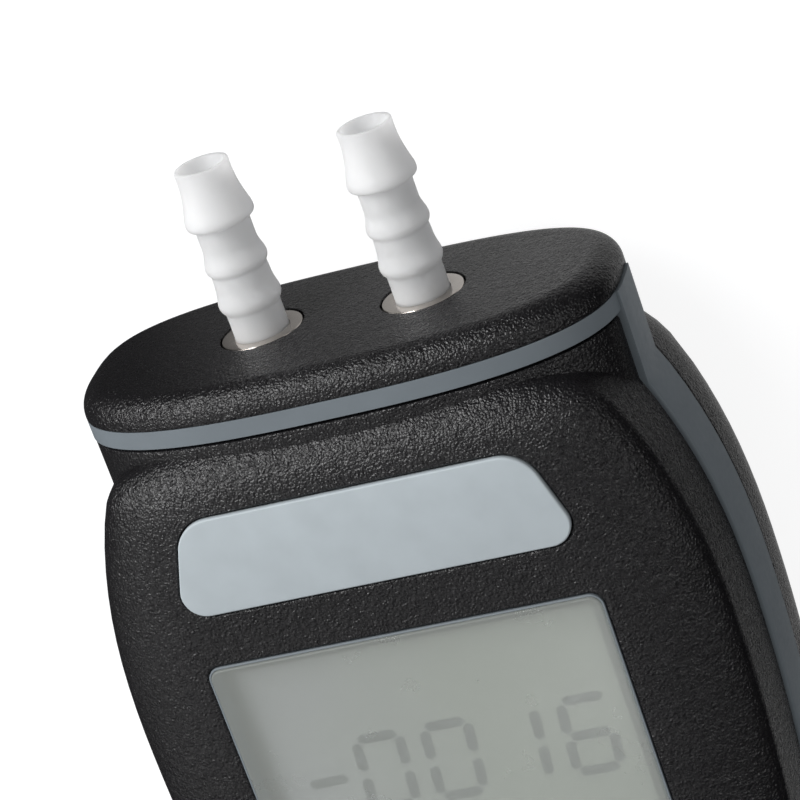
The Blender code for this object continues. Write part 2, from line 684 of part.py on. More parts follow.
def make_rear_shell():
    """The rear half: battery bay, cover recess and the screw pillars."""
    shell = half_case("rear_shell", -FACE_HEIGHT, BACK_PART_LINE - GAP)
    wide = BAY_HALF + BAY_WALL
    base_half = COVER_HALF + BAY_WALL
    top = COVER_TOP_DROP - COVER_TONGUE_LENGTH - BAY_WALL
    join(shell, box("bay_base", base_half, top, COVER_BOTTOM_DROP + BAY_WALL,
                    BACK_WALL / 2, BLOCK_LEVEL, "black_case"))
    join(shell, box("bay_walls", wide, BAY_TOP_DROP + GAP, BAY_BOTTOM_DROP + BAY_WALL,
                    BACK_WALL, BAY_HEIGHT, "black_case"))
    join(shell, pillar("cover_post", 0.0, COVER_SCREW_DROP, BACK_WALL,
                       COVER_LEVEL + COVER_SCREW_LENGTH, BOSS_RADIUS))
    cut(shell, box("bay", BAY_HALF, BAY_TOP_DROP, BAY_BOTTOM_DROP, -MM, BAY_HEIGHT + MM,
                   "black_case"))
    recess = rounded_box(COVER_HALF + GAP, COVER_TOP_DROP - GAP, COVER_BOTTOM_DROP + GAP,
                         COVER_CORNER + GAP)
    cut(shell, prism("cover_recess", recess, -MM, COVER_LEVEL + GAP, "black_case"))
    tongue = tongue_levels()
    cut(shell, box("tongue_slot", COVER_TONGUE_HALF + GAP, COVER_TOP_DROP - COVER_TONGUE_LENGTH - GAP,
                   COVER_TOP_DROP, tongue[0] - GAP, tongue[1] + GAP, "black_case"))
    cut(shell, pillar("cover_pilot", 0.0, COVER_SCREW_DROP, COVER_LEVEL - GAP,
                      COVER_LEVEL + COVER_SCREW_LENGTH - MM, SCREW_SHANK + GAP))
    for x, drop in CASE_SCREWS:
        web = CASE_SCREW_WEB + CASE_WEB_THICKNESS
        join(shell, rooted(pillar("post", x, drop, 0.0, web, CASE_BOSS_RADIUS)))
        cut(shell, pillar("sink", x, drop, -MM, CASE_SCREW_WEB, SCREW_HEAD + GAP))
        cut(shell, pillar("way", x, drop, CASE_SCREW_WEB - MM, web + MM, SCREW_SHANK + GAP))
    return shell


def make_trim_frame():
    """The grey frame: a band round the head and a strip down both sides, in one moulding."""
    rings = []
    for level in (BACK_PART_LINE, FRONT_PART_LINE):
        rings.append(body_ring(level, -TRIM_PROUD, -TRIM_PROUD))
    frame = loft("trim_frame", rings, "grey_trim")
    sides = oval_solid("sides", -TRIM_PROUD, BAND_TOP_DROP, NECK_LENGTH, "grey_trim")
    join(frame, keep(sides, slab("strip", BACK_PART_LINE, FRONT_PART_LINE)))
    join(frame, oval_solid("band", 0.0, BAND_TOP_DROP + GAP / 10, BAND_BOTTOM_DROP, "grey_trim"))
    return cut(frame, cavity("hollow"))


# Head

def make_port_cap():
    """The end cap: filleted oval top, a skirt inside the neck and two port seats."""
    rings = []
    for k in range(CAP_STEPS + 1):
        angle = math.pi / 2 * k / CAP_STEPS
        rings.append(oval(CAP_FILLET * (1 - math.sin(angle)), CAP_FILLET * (1 - math.cos(angle))))
    rings.append(oval(0.0, CAP_HEIGHT))
    cap = loft("port_cap", rings, "black_case")
    skirt_inset = NECK_INSET + SIDE_WALL + GAP
    root = CAP_HEIGHT - MM
    skirt = oval_solid("skirt", skirt_inset, root, CAP_SKIRT_DROP)
    cut(skirt, oval_solid("skirt_hollow", skirt_inset + CAP_SKIRT_WALL, root - MM, CAP_SKIRT_DROP + MM))
    join(cap, skirt)
    for side in (-1, 1):
        screw = place(side * CLAMP_SCREW_OFFSET, root, PORT_HEIGHT)
        boss = [(BOSS_RADIUS, 0.0), (BOSS_RADIUS, CLAMP_DROP - GAP - root)]
        join(cap, turned("boss", boss, screw, (0, -1, 0), "black_case", PILLAR_STEPS))
        depth = CLAMP_SCREW_LENGTH - CLAMP_THICKNESS + GAP
        pilot = [(SCREW_SHANK + GAP, -depth), (SCREW_SHANK + GAP, MM)]
        end = place(side * CLAMP_SCREW_OFFSET, CLAMP_DROP - GAP, PORT_HEIGHT)
        cut(cap, turned("pilot", pilot, end, (0, -1, 0), "black_case", PILLAR_STEPS))
        seat = place(side * PORT_PITCH / 2, 0.0, PORT_HEIGHT)
        bottom = PORT_FACE_DROP + DISC_THICKNESS + GAP
        sink = [(DISC_RADIUS + GAP, -MM), (DISC_RADIUS + GAP, bottom)]
        cut(cap, turned("disc_seat", sink, seat, (0, -1, 0), "black_case", 16))
        way = [(BARB_STEM + GAP, 0.0), (BARB_STEM + GAP, CAP_HEIGHT + MM)]
        cut(cap, turned("stem_way", way, seat, (0, -1, 0), "black_case"))
    return cap


def ring_bump(rise, height, length):
    """A soft ring on the barb's stem: (radius, rise) points of half a wave."""
    points = []
    for k in range(4):
        share = k / 3
        swell = math.sin(math.pi * share)
        points.append((BARB_STEM + (height - BARB_STEM) * swell, rise + length * (share - 0.5)))
    return points


def barb_profile():
    """The barb's wall as a closed loop of (radius, rise above the disc's face)."""
    tip = PORT_REACH + PORT_FACE_DROP
    flange_top = PORT_FACE_DROP - FLANGE_DROP
    flange_low = flange_top - BARB_FLANGE_THICKNESS
    tail = PORT_FACE_DROP - TAIL_END_DROP
    outside = [
        (BARB_BORE, tip - BARB_MOUTH_DEPTH),
        (BARB_MOUTH, tip),
        (BARB_TIP - 0.15 * MM, tip),
        (BARB_TIP, tip - 0.2 * MM),
        (BARB_SHOULDER, BARB_SHOULDER_RISE + 0.9 * MM),
        (BARB_SHOULDER, BARB_SHOULDER_RISE),
        (BARB_STEM + 0.1 * MM, BARB_SHOULDER_RISE - 0.4 * MM),
    ]
    outside += reversed(ring_bump(BARB_UPPER_RING_RISE, BARB_RING, BARB_RING_LENGTH))
    outside += reversed(ring_bump(BARB_LOWER_RING_RISE, BARB_RING, BARB_RING_LENGTH))
    inside = [
        (BARB_STEM, flange_top),
        (BARB_FLANGE, flange_top),
        (BARB_FLANGE, flange_low),
        (BARB_TAIL, flange_low),
        (BARB_TAIL, tail),
        (BARB_TAIL_BORE, tail),
        (BARB_TAIL_BORE, flange_low),
        (BARB_BORE, flange_top),
    ]
    return outside + inside


def make_port(side, word):
    """One port: barb, disc and seal."""
    seat = place(side * PORT_PITCH / 2, PORT_FACE_DROP, PORT_HEIGHT)
    turned(f"hose_barb_{word}", barb_profile(), seat, (0, 1, 0), "white_nylon", BARB_STEPS, hollow=True)
    ease_edge = 0.2 * MM
    disc = [
        (BARB_STEM + GAP, 0.0),
        (DISC_RADIUS - ease_edge, 0.0),
        (DISC_RADIUS, -ease_edge),
        (DISC_RADIUS, -DISC_THICKNESS),
        (BARB_STEM + GAP, -DISC_THICKNESS),
    ]
    turned(f"port_disc_{word}", disc, seat, (0, 1, 0), "nickel", 16, hollow=True)
    middle = PORT_FACE_DROP - CAP_HEIGHT - GAP - SEAL_THICKNESS / 2
    seal = []
    for k in range(5):
        angle = 2 * math.pi * k / 5
        radius = BARB_STEM + GAP + SEAL_THICKNESS / 2 * (1 + math.cos(angle))
        seal.append((radius, middle + SEAL_THICKNESS / 2 * math.sin(angle)))
    turned(f"port_seal_{word}", seal, seat, (0, 1, 0), "seal_rubber", hollow=True)


def make_clamp():
    """The plate that holds both barbs up against the cap, and its two screws."""
    half = CLAMP_SCREW_OFFSET + CLAMP_END
    plate = box("port_clamp", half, CLAMP_DROP, CLAMP_DROP + CLAMP_THICKNESS,
                PORT_HEIGHT - CLAMP_HALF_WIDTH, PORT_HEIGHT + CLAMP_HALF_WIDTH, "holder_plastic")
    for side in (-1, 1):
        for offset, radius in ((PORT_PITCH / 2, BARB_TAIL + GAP), (CLAMP_SCREW_OFFSET, SCREW_SHANK + GAP)):
            top = place(side * offset, CLAMP_DROP - MM, PORT_HEIGHT)
            way = [(radius, 0.0), (radius, CLAMP_THICKNESS + 2 * MM)]
            cut(plate, turned("way", way, top, (0, -1, 0), "holder_plastic", PILLAR_STEPS))
    for side, word in ((-1, "left"), (1, "right")):
        under = place(side * CLAMP_SCREW_OFFSET, CLAMP_DROP + CLAMP_THICKNESS + GAP, PORT_HEIGHT)
        make_screw(f"clamp_screw_{word}", under, (0, 1, 0), CLAMP_SCREW_LENGTH)


def make_screw(name, under_head, along, length, head=SCREW_HEAD_HEIGHT):
    """A pan-head screw with a cross recess, its shank running along the way given."""
    profile = [
        (SCREW_HEAD * 0.6, -head),
        (SCREW_HEAD * 0.9, -head * 0.75),
        (SCREW_HEAD, 0.0),
        (SCREW_SHANK, 0.0),
        (SCREW_SHANK, length),
    ]
    screw = turned(name, profile, under_head, along, "steel_screw", SCREW_STEPS)
    cut_cross(screw, under_head, along, head)
    return screw


def cut_cross(screw, under_head, along, head):
    """Sink a cross recess into a screw's head."""
    axis = Vector(along)
    side = axis.orthogonal().normalized()
    other = axis.cross(side)
    top = under_head - axis * (head + MM)
    depth = axis * (MM + head * 0.6)
    arm, half = SCREW_HEAD * 0.5, SCREW_HEAD * 0.13
    plus = [(arm, -half), (arm, half), (half, half), (half, arm), (-half, arm), (-half, half),
            (-arm, half), (-arm, -half), (-half, -half), (-half, -arm), (half, -arm), (half, -half)]
    ring = [top + side * u + other * v for u, v in plus]
    cut(screw, loft("cross", [ring, [p + depth for p in ring]], "steel_screw"))


# Face

def make_face_pieces():
    """Label plate and window in their recesses."""
    top = FACE_HEIGHT + LABEL_PROUD
    label = prism("label_plate", label_outline(), top - LABEL_THICKNESS, top, "pale_plate")
    ease(label, 0.25 * MM, 1)
    top = FACE_HEIGHT + WINDOW_PROUD
    window = prism("window", window_outline(), top - WINDOW_THICKNESS, top, "clear_window")
    ease(window, 0.3 * MM, 1)


def make_display():
    """The cell, its holder and the two elastomer strips under its ledges."""
    box("lcd_cell", CELL_HALF, CELL_TOP_DROP, CELL_BOTTOM_DROP, CELL_BOTTOM, CELL_TOP,
        "display_cell")
    inner = (CELL_HALF + GAP, CELL_TOP_DROP - GAP, CELL_BOTTOM_DROP + GAP)
    holder = box("lcd_frame", inner[0] + FRAME_WALL, inner[1] - FRAME_WALL, inner[2] + FRAME_WALL,
                 BOARD_TOP + GAP, CELL_TOP - FRAME_SET_BACK, "holder_plastic")
    cut(holder, box("frame_hollow", *inner, BOARD_TOP, FACE_HEIGHT, "holder_plastic"))
    inset = ELASTOMER_SET_BACK
    for word, drop in (("upper", CELL_TOP_DROP + inset), ("lower", CELL_BOTTOM_DROP - inset)):
        box(f"elastomer_strip_{word}", CELL_HALF - inset, drop - ELASTOMER_WIDTH / 2,
            drop + ELASTOMER_WIDTH / 2, BOARD_TOP + GAP, CELL_BOTTOM - GAP, "mat_rubber")


def make_board():
    """The main board, its chip and its four screws."""
    outline = rounded_box(BOARD_HALF, BOARD_TOP_DROP, BOARD_BOTTOM_DROP, BOARD_CORNER)
    board = prism("main_board", outline, BOARD_BOTTOM, BOARD_TOP, "board_green")
    for x, drop in BOARD_SCREWS:
        cut(board, pillar("way", x, drop, BOARD_BOTTOM - MM, BOARD_TOP + MM, SCREW_SHANK + GAP))
    for number, (x, drop) in enumerate(BOARD_SCREWS, 1):
        under = place(x, drop, BOARD_BOTTOM - GAP)
        make_screw(f"board_screw_{number}", under, (0, 0, 1), BOARD_SCREW_LENGTH)
    top = BOARD_BOTTOM - GAP
    box("processor_chip", CHIP_SIZE / 2, SENSOR_TOP_DROP, SENSOR_TOP_DROP + CHIP_SIZE,
        top - CHIP_THICKNESS, top, "chip_black", CHIP_X)


def origin_on_axis(piece, point):
    """Put a moving piece's origin on its line of travel; the mesh stays where it was."""
    piece.data.transform(Matrix.Translation(-point))
    piece.location = point


def make_keys():
    """The four keys in their openings and the mat with a dome under each."""
    flange_top = FACE_INSIDE - GAP
    flange_low = flange_top - KEY_FLANGE_THICKNESS
    for name, (across, drop, half, along) in KEYS.items():
        key = prism(name, key_outline(name), flange_low, FACE_HEIGHT + KEY_PROUD, "key_grey")
        ease(key, 0.6 * MM, 1)
        settle(key)
        flange = prism("flange", key_outline(name, KEY_CLEARANCE + KEY_FLANGE), flange_low,
                       flange_top, "key_grey")
        join(key, flange)
        origin_on_axis(key, place(across, drop, FACE_HEIGHT))
    top = KEY_ROW_DROP - KEY_HALF_ALONG - MAT_MARGIN
    bottom = KEY_POWER_DROP + KEY_POWER_HALF + MAT_MARGIN
    mat = prism("keypad_mat", rounded_box(MAT_HALF, top, bottom, MAT_CORNER), BOARD_TOP + GAP,
                BOARD_TOP + GAP + MAT_THICKNESS, "mat_rubber")
    dome_top = flange_low - KEY_TRAVEL - GAP
    for name, (across, drop, half, along) in KEYS.items():
        root = min(half, along) * DOME_SHARE
        base = BOARD_TOP + GAP + MAT_THICKNESS / 2
        rise = dome_top - base
        profile = [(root, 0.0), (root, MAT_THICKNESS), (root * 0.65, rise)]
        join(mat, turned("dome", profile, place(across, drop, base), (0, 0, 1), "mat_rubber", PILLAR_STEPS))


# Inside the case

def make_sensor():
    """The differential sensor with two nipples towards the ports."""
    sensor = box("pressure_sensor", SENSOR_HALF, SENSOR_TOP_DROP, SENSOR_TOP_DROP + SENSOR_LENGTH,
                 PORT_HEIGHT - SENSOR_FOOT, BOARD_BOTTOM - GAP, "sensor_white")
    for side in (-1, 1):
        root = place(side * NIPPLE_PITCH / 2, SENSOR_TOP_DROP + MM, PORT_HEIGHT)
        profile = [(NIPPLE_RADIUS, 0.0), (NIPPLE_RADIUS, NIPPLE_LENGTH + MM)]
        join(sensor, turned("nipple", profile, root, (0, 1, 0), "sensor_white", PILLAR_STEPS))


def make_sensor_tube(side, word):
    """A silicone tube from a barb's tail to a nipple, on an eased S."""
    start = CLAMP_DROP + CLAMP_THICKNESS + SCREW_HEAD_HEIGHT
    end = SENSOR_TOP_DROP - GAP
    straight_top = TAIL_END_DROP
    straight_low = SENSOR_TOP_DROP - NIPPLE_LENGTH
    stations = 7
    outer, inner = [], []
    for k in range(stations + 1):
        drop = start + (end - start) * k / stations
        share = min(max((drop - straight_top) / (straight_low - straight_top), 0.0), 1.0)
        blend = (1 - math.cos(math.pi * share)) / 2
        x = side * (PORT_PITCH + (NIPPLE_PITCH - PORT_PITCH) * blend) / 2
        centre = place(x, drop, PORT_HEIGHT)
        outer.append([centre + spoke * TUBE_OUTER for spoke in tube_spokes()])
        inner.append([centre + spoke * TUBE_INNER for spoke in tube_spokes()])
    rings = outer + inner[::-1]
    loft(f"sensor_tube_{word}", rings, "tube_silicone", looped=True)


def tube_spokes():
    """Unit spokes round the Y axis for the sensor tubes."""
    return [Vector((math.cos(a), 0.0, math.sin(a))) for a in
            (2 * math.pi * (k + 0.5) / 8 for k in range(8))]


def terminal(name, x, drop, profile, finish):
    """A snap terminal along Y at the battery's mid height."""
    return turned(name, profile, place(x, drop, TERMINAL_LEVEL), (0, 1, 0), finish, 12)


def ring_profile(low, high):
    """A snap socket's wall, as a closed loop."""
    return [(SOCKET_INNER, low), (SOCKET_OUTER, low), (SOCKET_OUTER, high), (SOCKET_INNER, high)]


def snap_ring(name, x, drop, low, high, finish):
    """The open socket half of a snap terminal."""
    centre = place(x, drop, TERMINAL_LEVEL)
    return turned(name, ring_profile(low, high), centre, (0, 1, 0), finish, 12, hollow=True)


def make_battery():
    """A nine-volt block battery, with its clip and contacts on the board."""
    across = [
        (-BATTERY_HALF, BATTERY_LEVEL),
        (BATTERY_HALF, BATTERY_LEVEL),
        (BATTERY_HALF, BATTERY_LEVEL + BATTERY_THICKNESS),
        (-BATTERY_HALF, BATTERY_LEVEL + BATTERY_THICKNESS),
    ]
    section = rounded([(x, z, BATTERY_CORNER) for x, z in across], 2)
    rings = [[place(x, drop, z) for x, z in section]
             for drop in (BATTERY_TOP_DROP, BATTERY_BOTTOM_DROP)]
    battery = loft("battery", rings, "battery_jacket")
    sunk = BATTERY_TOP_DROP + MM
    stud = [(STUD_RADIUS, 0.0), (STUD_RADIUS, TERMINAL_HEIGHT + MM)]
    join(battery, terminal("stud", -TERMINAL_OFFSET, sunk, stud, "battery_jacket"))
    join(battery, snap_ring("socket", TERMINAL_OFFSET, sunk, 0.0, TERMINAL_HEIGHT + MM,
                            "battery_jacket"))
    make_battery_clip()


def make_battery_clip():
    """The moulded block on the board that holds both contacts."""
    low_drop = BATTERY_TOP_DROP - TERMINAL_HEIGHT - CONTACT_PLATE - 2 * GAP
    top_drop = low_drop - CLIP_THICKNESS
    box("battery_clip", CLIP_HALF, top_drop, low_drop, TERMINAL_LEVEL - SOCKET_OUTER - CLIP_FOOT,
        BOARD_BOTTOM - GAP, "holder_plastic")
    face = low_drop + GAP
    plate = [(SOCKET_OUTER, -CONTACT_PLATE), (SOCKET_OUTER, 0.0)]
    positive = terminal("battery_contact_positive", -TERMINAL_OFFSET, face, plate, "nickel")
    join(positive, snap_ring("wall", -TERMINAL_OFFSET, face, -TERMINAL_HEIGHT, -CONTACT_PLATE / 2,
                             "nickel"))
    negative = terminal("battery_contact_negative", TERMINAL_OFFSET, face, plate, "nickel")
    stud = [(STUD_RADIUS, -TERMINAL_HEIGHT), (STUD_RADIUS, -CONTACT_PLATE / 2)]
    join(negative, terminal("stud", TERMINAL_OFFSET, face, stud, "nickel"))


def tongue_levels():
    """The lower and upper height of the cover's tongue."""
    high = COVER_LEVEL - GAP / 3
    return high - COVER_TONGUE_THICKNESS, high


def make_battery_cover():
    """The cover plate with its tongue, and the screw at its other end."""
    outline = rounded_box(COVER_HALF, COVER_TOP_DROP, COVER_BOTTOM_DROP, COVER_CORNER)
    cover = prism("battery_cover", outline, COVER_STANDOFF, COVER_LEVEL, "black_case")
    low, high = tongue_levels()
    join(cover, box("tongue", COVER_TONGUE_HALF, COVER_TOP_DROP - COVER_TONGUE_LENGTH,
                    COVER_TOP_DROP + BAY_WALL, low, high, "black_case"))
    seat = COVER_STANDOFF + COVER_SCREW_HEAD + GAP
    cut(cover, pillar("sink", 0.0, COVER_SCREW_DROP, -MM, seat, SCREW_HEAD + GAP))
    cut(cover, pillar("way", 0.0, COVER_SCREW_DROP, 0.0, COVER_LEVEL + MM, SCREW_SHANK + GAP))
    return seat


def make_screws(cover_seat):
    """The case screws and the cover's screw, driven in from the back."""
    for number, (x, drop) in enumerate(CASE_SCREWS, 1):
        under = place(x, drop, CASE_SCREW_WEB - GAP)
        make_screw(f"case_screw_{number}", under, (0, 0, 1), CASE_SCREW_LENGTH)
    under = place(0.0, COVER_SCREW_DROP, cover_seat - GAP)
    make_screw("battery_cover_screw", under, (0, 0, 1), COVER_SCREW_LENGTH, COVER_SCREW_HEAD)


def shade_round():
    """Shade every solid smooth up to its sharp edges."""
    for solid in bpy.context.scene.objects:
        if solid.type == "MESH":
            solid.data.shade_smooth()
            solid.data.set_sharp_from_angle(angle=math.radians(38))


def main():
    """Build the whole meter."""
    for old in list(bpy.data.objects):
        bpy.data.objects.remove(old)
    make_front_shell()
    make_rear_shell()
    make_trim_frame()
    make_port_cap()
    for side, word in ((-1, "left"), (1, "right")):
        make_port(side, word)
        make_sensor_tube(side, word)
    make_clamp()
    make_face_pieces()
    make_display()
    make_board()
    make_keys()
    make_sensor()
    make_battery()
    make_screws(make_battery_cover())
    shade_round()


main()
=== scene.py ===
"""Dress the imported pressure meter: fine surfaces, finishes, soft light and the camera."""

import json
import logging
import math
from dataclasses import dataclass
from enum import Enum
from typing import Callable, Iterable, Optional, Sequence

import bmesh
import bpy
from mathutils import Matrix, Vector


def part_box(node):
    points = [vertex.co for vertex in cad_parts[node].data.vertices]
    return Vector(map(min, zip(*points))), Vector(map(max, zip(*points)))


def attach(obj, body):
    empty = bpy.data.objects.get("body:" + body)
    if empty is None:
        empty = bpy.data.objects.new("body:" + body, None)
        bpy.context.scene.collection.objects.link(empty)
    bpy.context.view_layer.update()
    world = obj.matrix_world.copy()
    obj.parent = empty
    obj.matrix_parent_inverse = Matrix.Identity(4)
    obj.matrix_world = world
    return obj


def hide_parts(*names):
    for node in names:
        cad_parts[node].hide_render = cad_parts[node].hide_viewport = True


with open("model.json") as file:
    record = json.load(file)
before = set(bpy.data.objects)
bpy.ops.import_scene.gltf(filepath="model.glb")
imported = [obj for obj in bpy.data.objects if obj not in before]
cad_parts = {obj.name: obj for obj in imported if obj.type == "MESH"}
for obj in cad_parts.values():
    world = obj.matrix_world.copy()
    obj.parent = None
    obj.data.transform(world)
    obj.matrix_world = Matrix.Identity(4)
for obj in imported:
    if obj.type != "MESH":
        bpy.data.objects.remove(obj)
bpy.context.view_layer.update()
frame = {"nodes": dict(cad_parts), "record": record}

MM = 0.001
GAP = 0.3 * MM  # clearance between neighbouring mouldings
WELD = 1e-6  # points closer than this are merged
AXIS = 1e-6  # radius of a cutter's point on its own axis
SHARP = 35.0  # degrees above which an edge stays sharp
SHARP_TURNED = 30.0
SHARP_PLATE = 50.0
PORT_PITCH = 18.0 * MM
CUT_DEPTH = 4 * MM  # how far an opening's cutter reaches below the face
WHITE = (1.0, 1.0, 1.0, 1.0)
LOG = logging.getLogger("meter")

Point = tuple[float, float]
Triple = tuple[float, float, float]
Colour = tuple[int, int, int]


class Side(Enum):
    """Which of a pair of pieces."""

    LEFT = -1
    RIGHT = 1

    @property
    def word(self) -> str:
        """The side's word, as the nodes' names have it."""
        return self.name.lower()


class Half(Enum):
    """Front or rear half of the case."""

    FRONT = "front"
    REAR = "rear"


def linear(colour: Colour) -> tuple[float, float, float, float]:
    """Turn a screen colour into light.

    Args:
        colour: Red, green and blue from 0 to 255.

    Returns:
        The colour as linear light, with alpha 1.
    """
    parts = []
    for value in colour:
        share = value / 255.0
        parts.append(share / 12.92 if share <= 0.04045 else ((share + 0.055) / 1.055) ** 2.4)
    return (parts[0], parts[1], parts[2], 1.0)


# Materials


class Graph:
    """A material's nodes, with short calls to add and join them."""

    CLOUD = (0.3, 0.7)  # the part of a noise's range that is used
    CONVEX = (0.52, 0.62)  # pointiness from plain to sharp
    MIX_SHARE, MIX_FIRST, MIX_SECOND, MIX_RESULT = 0, 6, 7, 2  # the Mix node's colour sockets

    def __init__(self, name: str) -> None:
        """Start a material with its own shader.

        Args:
            name: The material's name.
        """
        self.material = bpy.data.materials.new(name)
        self.material.use_nodes = True
        self.tree = self.material.node_tree
        self.shader = self.tree.nodes["Principled BSDF"]
        self.place = self.node("ShaderNodeTexCoord").outputs["Object"]

    def node(self, kind: str, **settings: object) -> bpy.types.Node:
        """Add a node.

        Args:
            kind: The node's type name.
            **settings: Properties to set on it.

        Returns:
            The new node.
        """
        made = self.tree.nodes.new(kind)
        for key, value in settings.items():
            setattr(made, key, value)
        return made

    def feed(self, socket: bpy.types.NodeSocket, value: object) -> None:
        """Give a socket a link or a value.

        Args:
            socket: The input.
            value: An output to link from, or a plain value.
        """
        if isinstance(value, bpy.types.NodeSocket):
            self.tree.links.new(value, socket)
        else:
            socket.default_value = value

    def sum(self, operation: str, first: object, second: object = 0.0) -> bpy.types.NodeSocket:
        """Join two numbers by an operation.

        Args:
            operation: The Math node's operation.
            first: First number or output.
            second: Second number or output.

        Returns:
            The result's output.
        """
        made = self.node("ShaderNodeMath", operation=operation)
        self.feed(made.inputs[0], first)
        self.feed(made.inputs[1], second)
        return made.outputs[0]

    def stretched(self, scale: Sequence[float]) -> bpy.types.NodeSocket:
        """Object coordinates scaled along each axis.

        Args:
            scale: Factor along each axis; a small one draws the pattern out.

        Returns:
            The mapped vector.
        """
        made = self.node("ShaderNodeMapping", vector_type="POINT")
        self.feed(made.inputs["Vector"], self.place)
        made.inputs["Scale"].default_value = scale
        return made.outputs["Vector"]

    def axes(self) -> tuple[bpy.types.NodeSocket, ...]:
        """Split the object coordinates.

        Returns:
            The outputs for X, Y and Z.
        """
        parts = self.node("ShaderNodeSeparateXYZ")
        self.feed(parts.inputs[0], self.place)
        return tuple(parts.outputs)

    def noise(self, size: float, detail: float = 3.0, vector: Optional[bpy.types.NodeSocket] = None
              ) -> bpy.types.NodeSocket:
        """Cloudy variation.

        Args:
            size: Size of one cloud in metres.
            detail: Number of finer layers.
            vector: Where to read it, or the piece's own coordinates.

        Returns:
            The factor's output.
        """
        made = self.node("ShaderNodeTexNoise")
        self.feed(made.inputs["Vector"], vector or self.place)
        made.inputs["Scale"].default_value = 1.0 / size
        made.inputs["Detail"].default_value = detail
        return made.outputs["Fac"]

    def cells(self, size: float, vector: bpy.types.NodeSocket) -> bpy.types.NodeSocket:
        """Distance to scattered cell centres.

        Args:
            size: Size of one cell in metres.
            vector: Where to read it.

        Returns:
            The distance's output.
        """
        made = self.node("ShaderNodeTexVoronoi", feature="F1")
        self.feed(made.inputs["Vector"], vector)
        made.inputs["Scale"].default_value = 1.0 / size
        return made.outputs["Distance"]

    def ranged(self, value: bpy.types.NodeSocket, low: float, high: float, to_low: float,
               to_high: float) -> bpy.types.NodeSocket:
        """Map a number from one range to another, clamped.

        Args:
            value: The number.
            low: Start of its range.
            high: End of its range.
            to_low: Start of the new range.
            to_high: End of the new range.

        Returns:
            The mapped number.
        """
        made = self.node("ShaderNodeMapRange")
        for key, number in zip(("From Min", "From Max", "To Min", "To Max"),
                               (low, high, to_low, to_high)):
            made.inputs[key].default_value = number
        self.feed(made.inputs["Value"], value)
        return made.outputs["Result"]

    def blend(self, share: object, first: object, second: object) -> bpy.types.NodeSocket:
        """Mix two colours.

        Args:
            share: How much of the second, 0 to 1.
            first: Colour or output.
            second: Colour or output.

        Returns:
            The mixed colour.
        """
        made = self.node("ShaderNodeMix", data_type="RGBA")
        self.feed(made.inputs[self.MIX_SHARE], share)
        self.feed(made.inputs[self.MIX_FIRST], first)
        self.feed(made.inputs[self.MIX_SECOND], second)
        return made.outputs[self.MIX_RESULT]

    def bump(self, height: bpy.types.NodeSocket, depth: float, strength: float = 1.0) -> None:
        """Raise the surface by a height.

        Args:
            height: From 0 to 1.
            depth: The height of 1, in metres.
            strength: Share of the effect.
        """
        made = self.node("ShaderNodeBump")
        made.inputs["Distance"].default_value = depth
        made.inputs["Strength"].default_value = strength
        self.feed(made.inputs["Height"], height)
        last = self.shader.inputs["Normal"].links
        if last:
            self.feed(made.inputs["Normal"], last[0].from_socket)
        self.feed(self.shader.inputs["Normal"], made.outputs["Normal"])

    def edge(self) -> bpy.types.NodeSocket:
        """Where the surface is sharply convex, from 0 to 1."""
        convex = self.node("ShaderNodeNewGeometry").outputs["Pointiness"]
        return self.ranged(convex, *self.CONVEX, 0, 1)

    def tint(self, colour: Colour, spread: float, size: float, wear: Optional[Colour] = None,
             wear_share: float = 0.0) -> None:
        """Colour the piece with slight cloudiness and worn edges.

        Args:
            colour: The main screen colour.
            spread: How far the clouds darken and lighten it.
            size: Size of a cloud in metres.
            wear: Screen colour of worn edges, if any.
            wear_share: How strongly the wear shows.
        """
        base = linear(colour)
        dark = (*(c * (1 - spread) for c in base[:3]), 1.0)
        light = (*(min(c * (1 + spread), 1.0) for c in base[:3]), 1.0)
        clouds = self.ranged(self.noise(size), *self.CLOUD, 0.0, 1.0)
        result = self.blend(clouds, dark, light)
        if wear is not None:
            share = self.sum("MULTIPLY", self.edge(), wear_share)
            result = self.blend(share, result, linear(wear))
        self.feed(self.shader.inputs["Base Color"], result)

    def rough(self, low: float, high: float, size: float) -> None:
        """Vary the roughness.

        Args:
            low: Smoothest.
            high: Roughest.
            size: Size of a patch in metres.
        """
        self.rough_by(self.noise(size, detail=4.0), low, high)

    def rough_by(self, pattern: bpy.types.NodeSocket, low: float, high: float) -> None:
        """Vary the roughness with a pattern.

        Args:
            pattern: A noise output.
            low: Smoothest.
            high: Roughest.
        """
        self.feed(self.shader.inputs["Roughness"], self.ranged(pattern, *self.CLOUD, low, high))

    def fix(self, **values: object) -> None:
        """Set plain values on the shader's own sockets.

        Args:
            **values: Socket names, with underscores for spaces.
        """
        for key, value in values.items():
            self.shader.inputs[key.replace("_", " ")].default_value = value


@dataclass(frozen=True)
class Finish:
    """One finish of the meter; each kind dresses its own material."""

    slot: str
    colour: Colour

    def dress(self, graph: Graph) -> None:
        """Add this finish's nodes to a graph."""
        raise NotImplementedError

    def material(self) -> bpy.types.Material:
        """Make the finish's material, or find it once it is made.

        Returns:
            The material.
        """
        found = bpy.data.materials.get("fine_" + self.slot)
        if found:
            return found
        graph = Graph("fine_" + self.slot)
        self.dress(graph)
        return graph.material


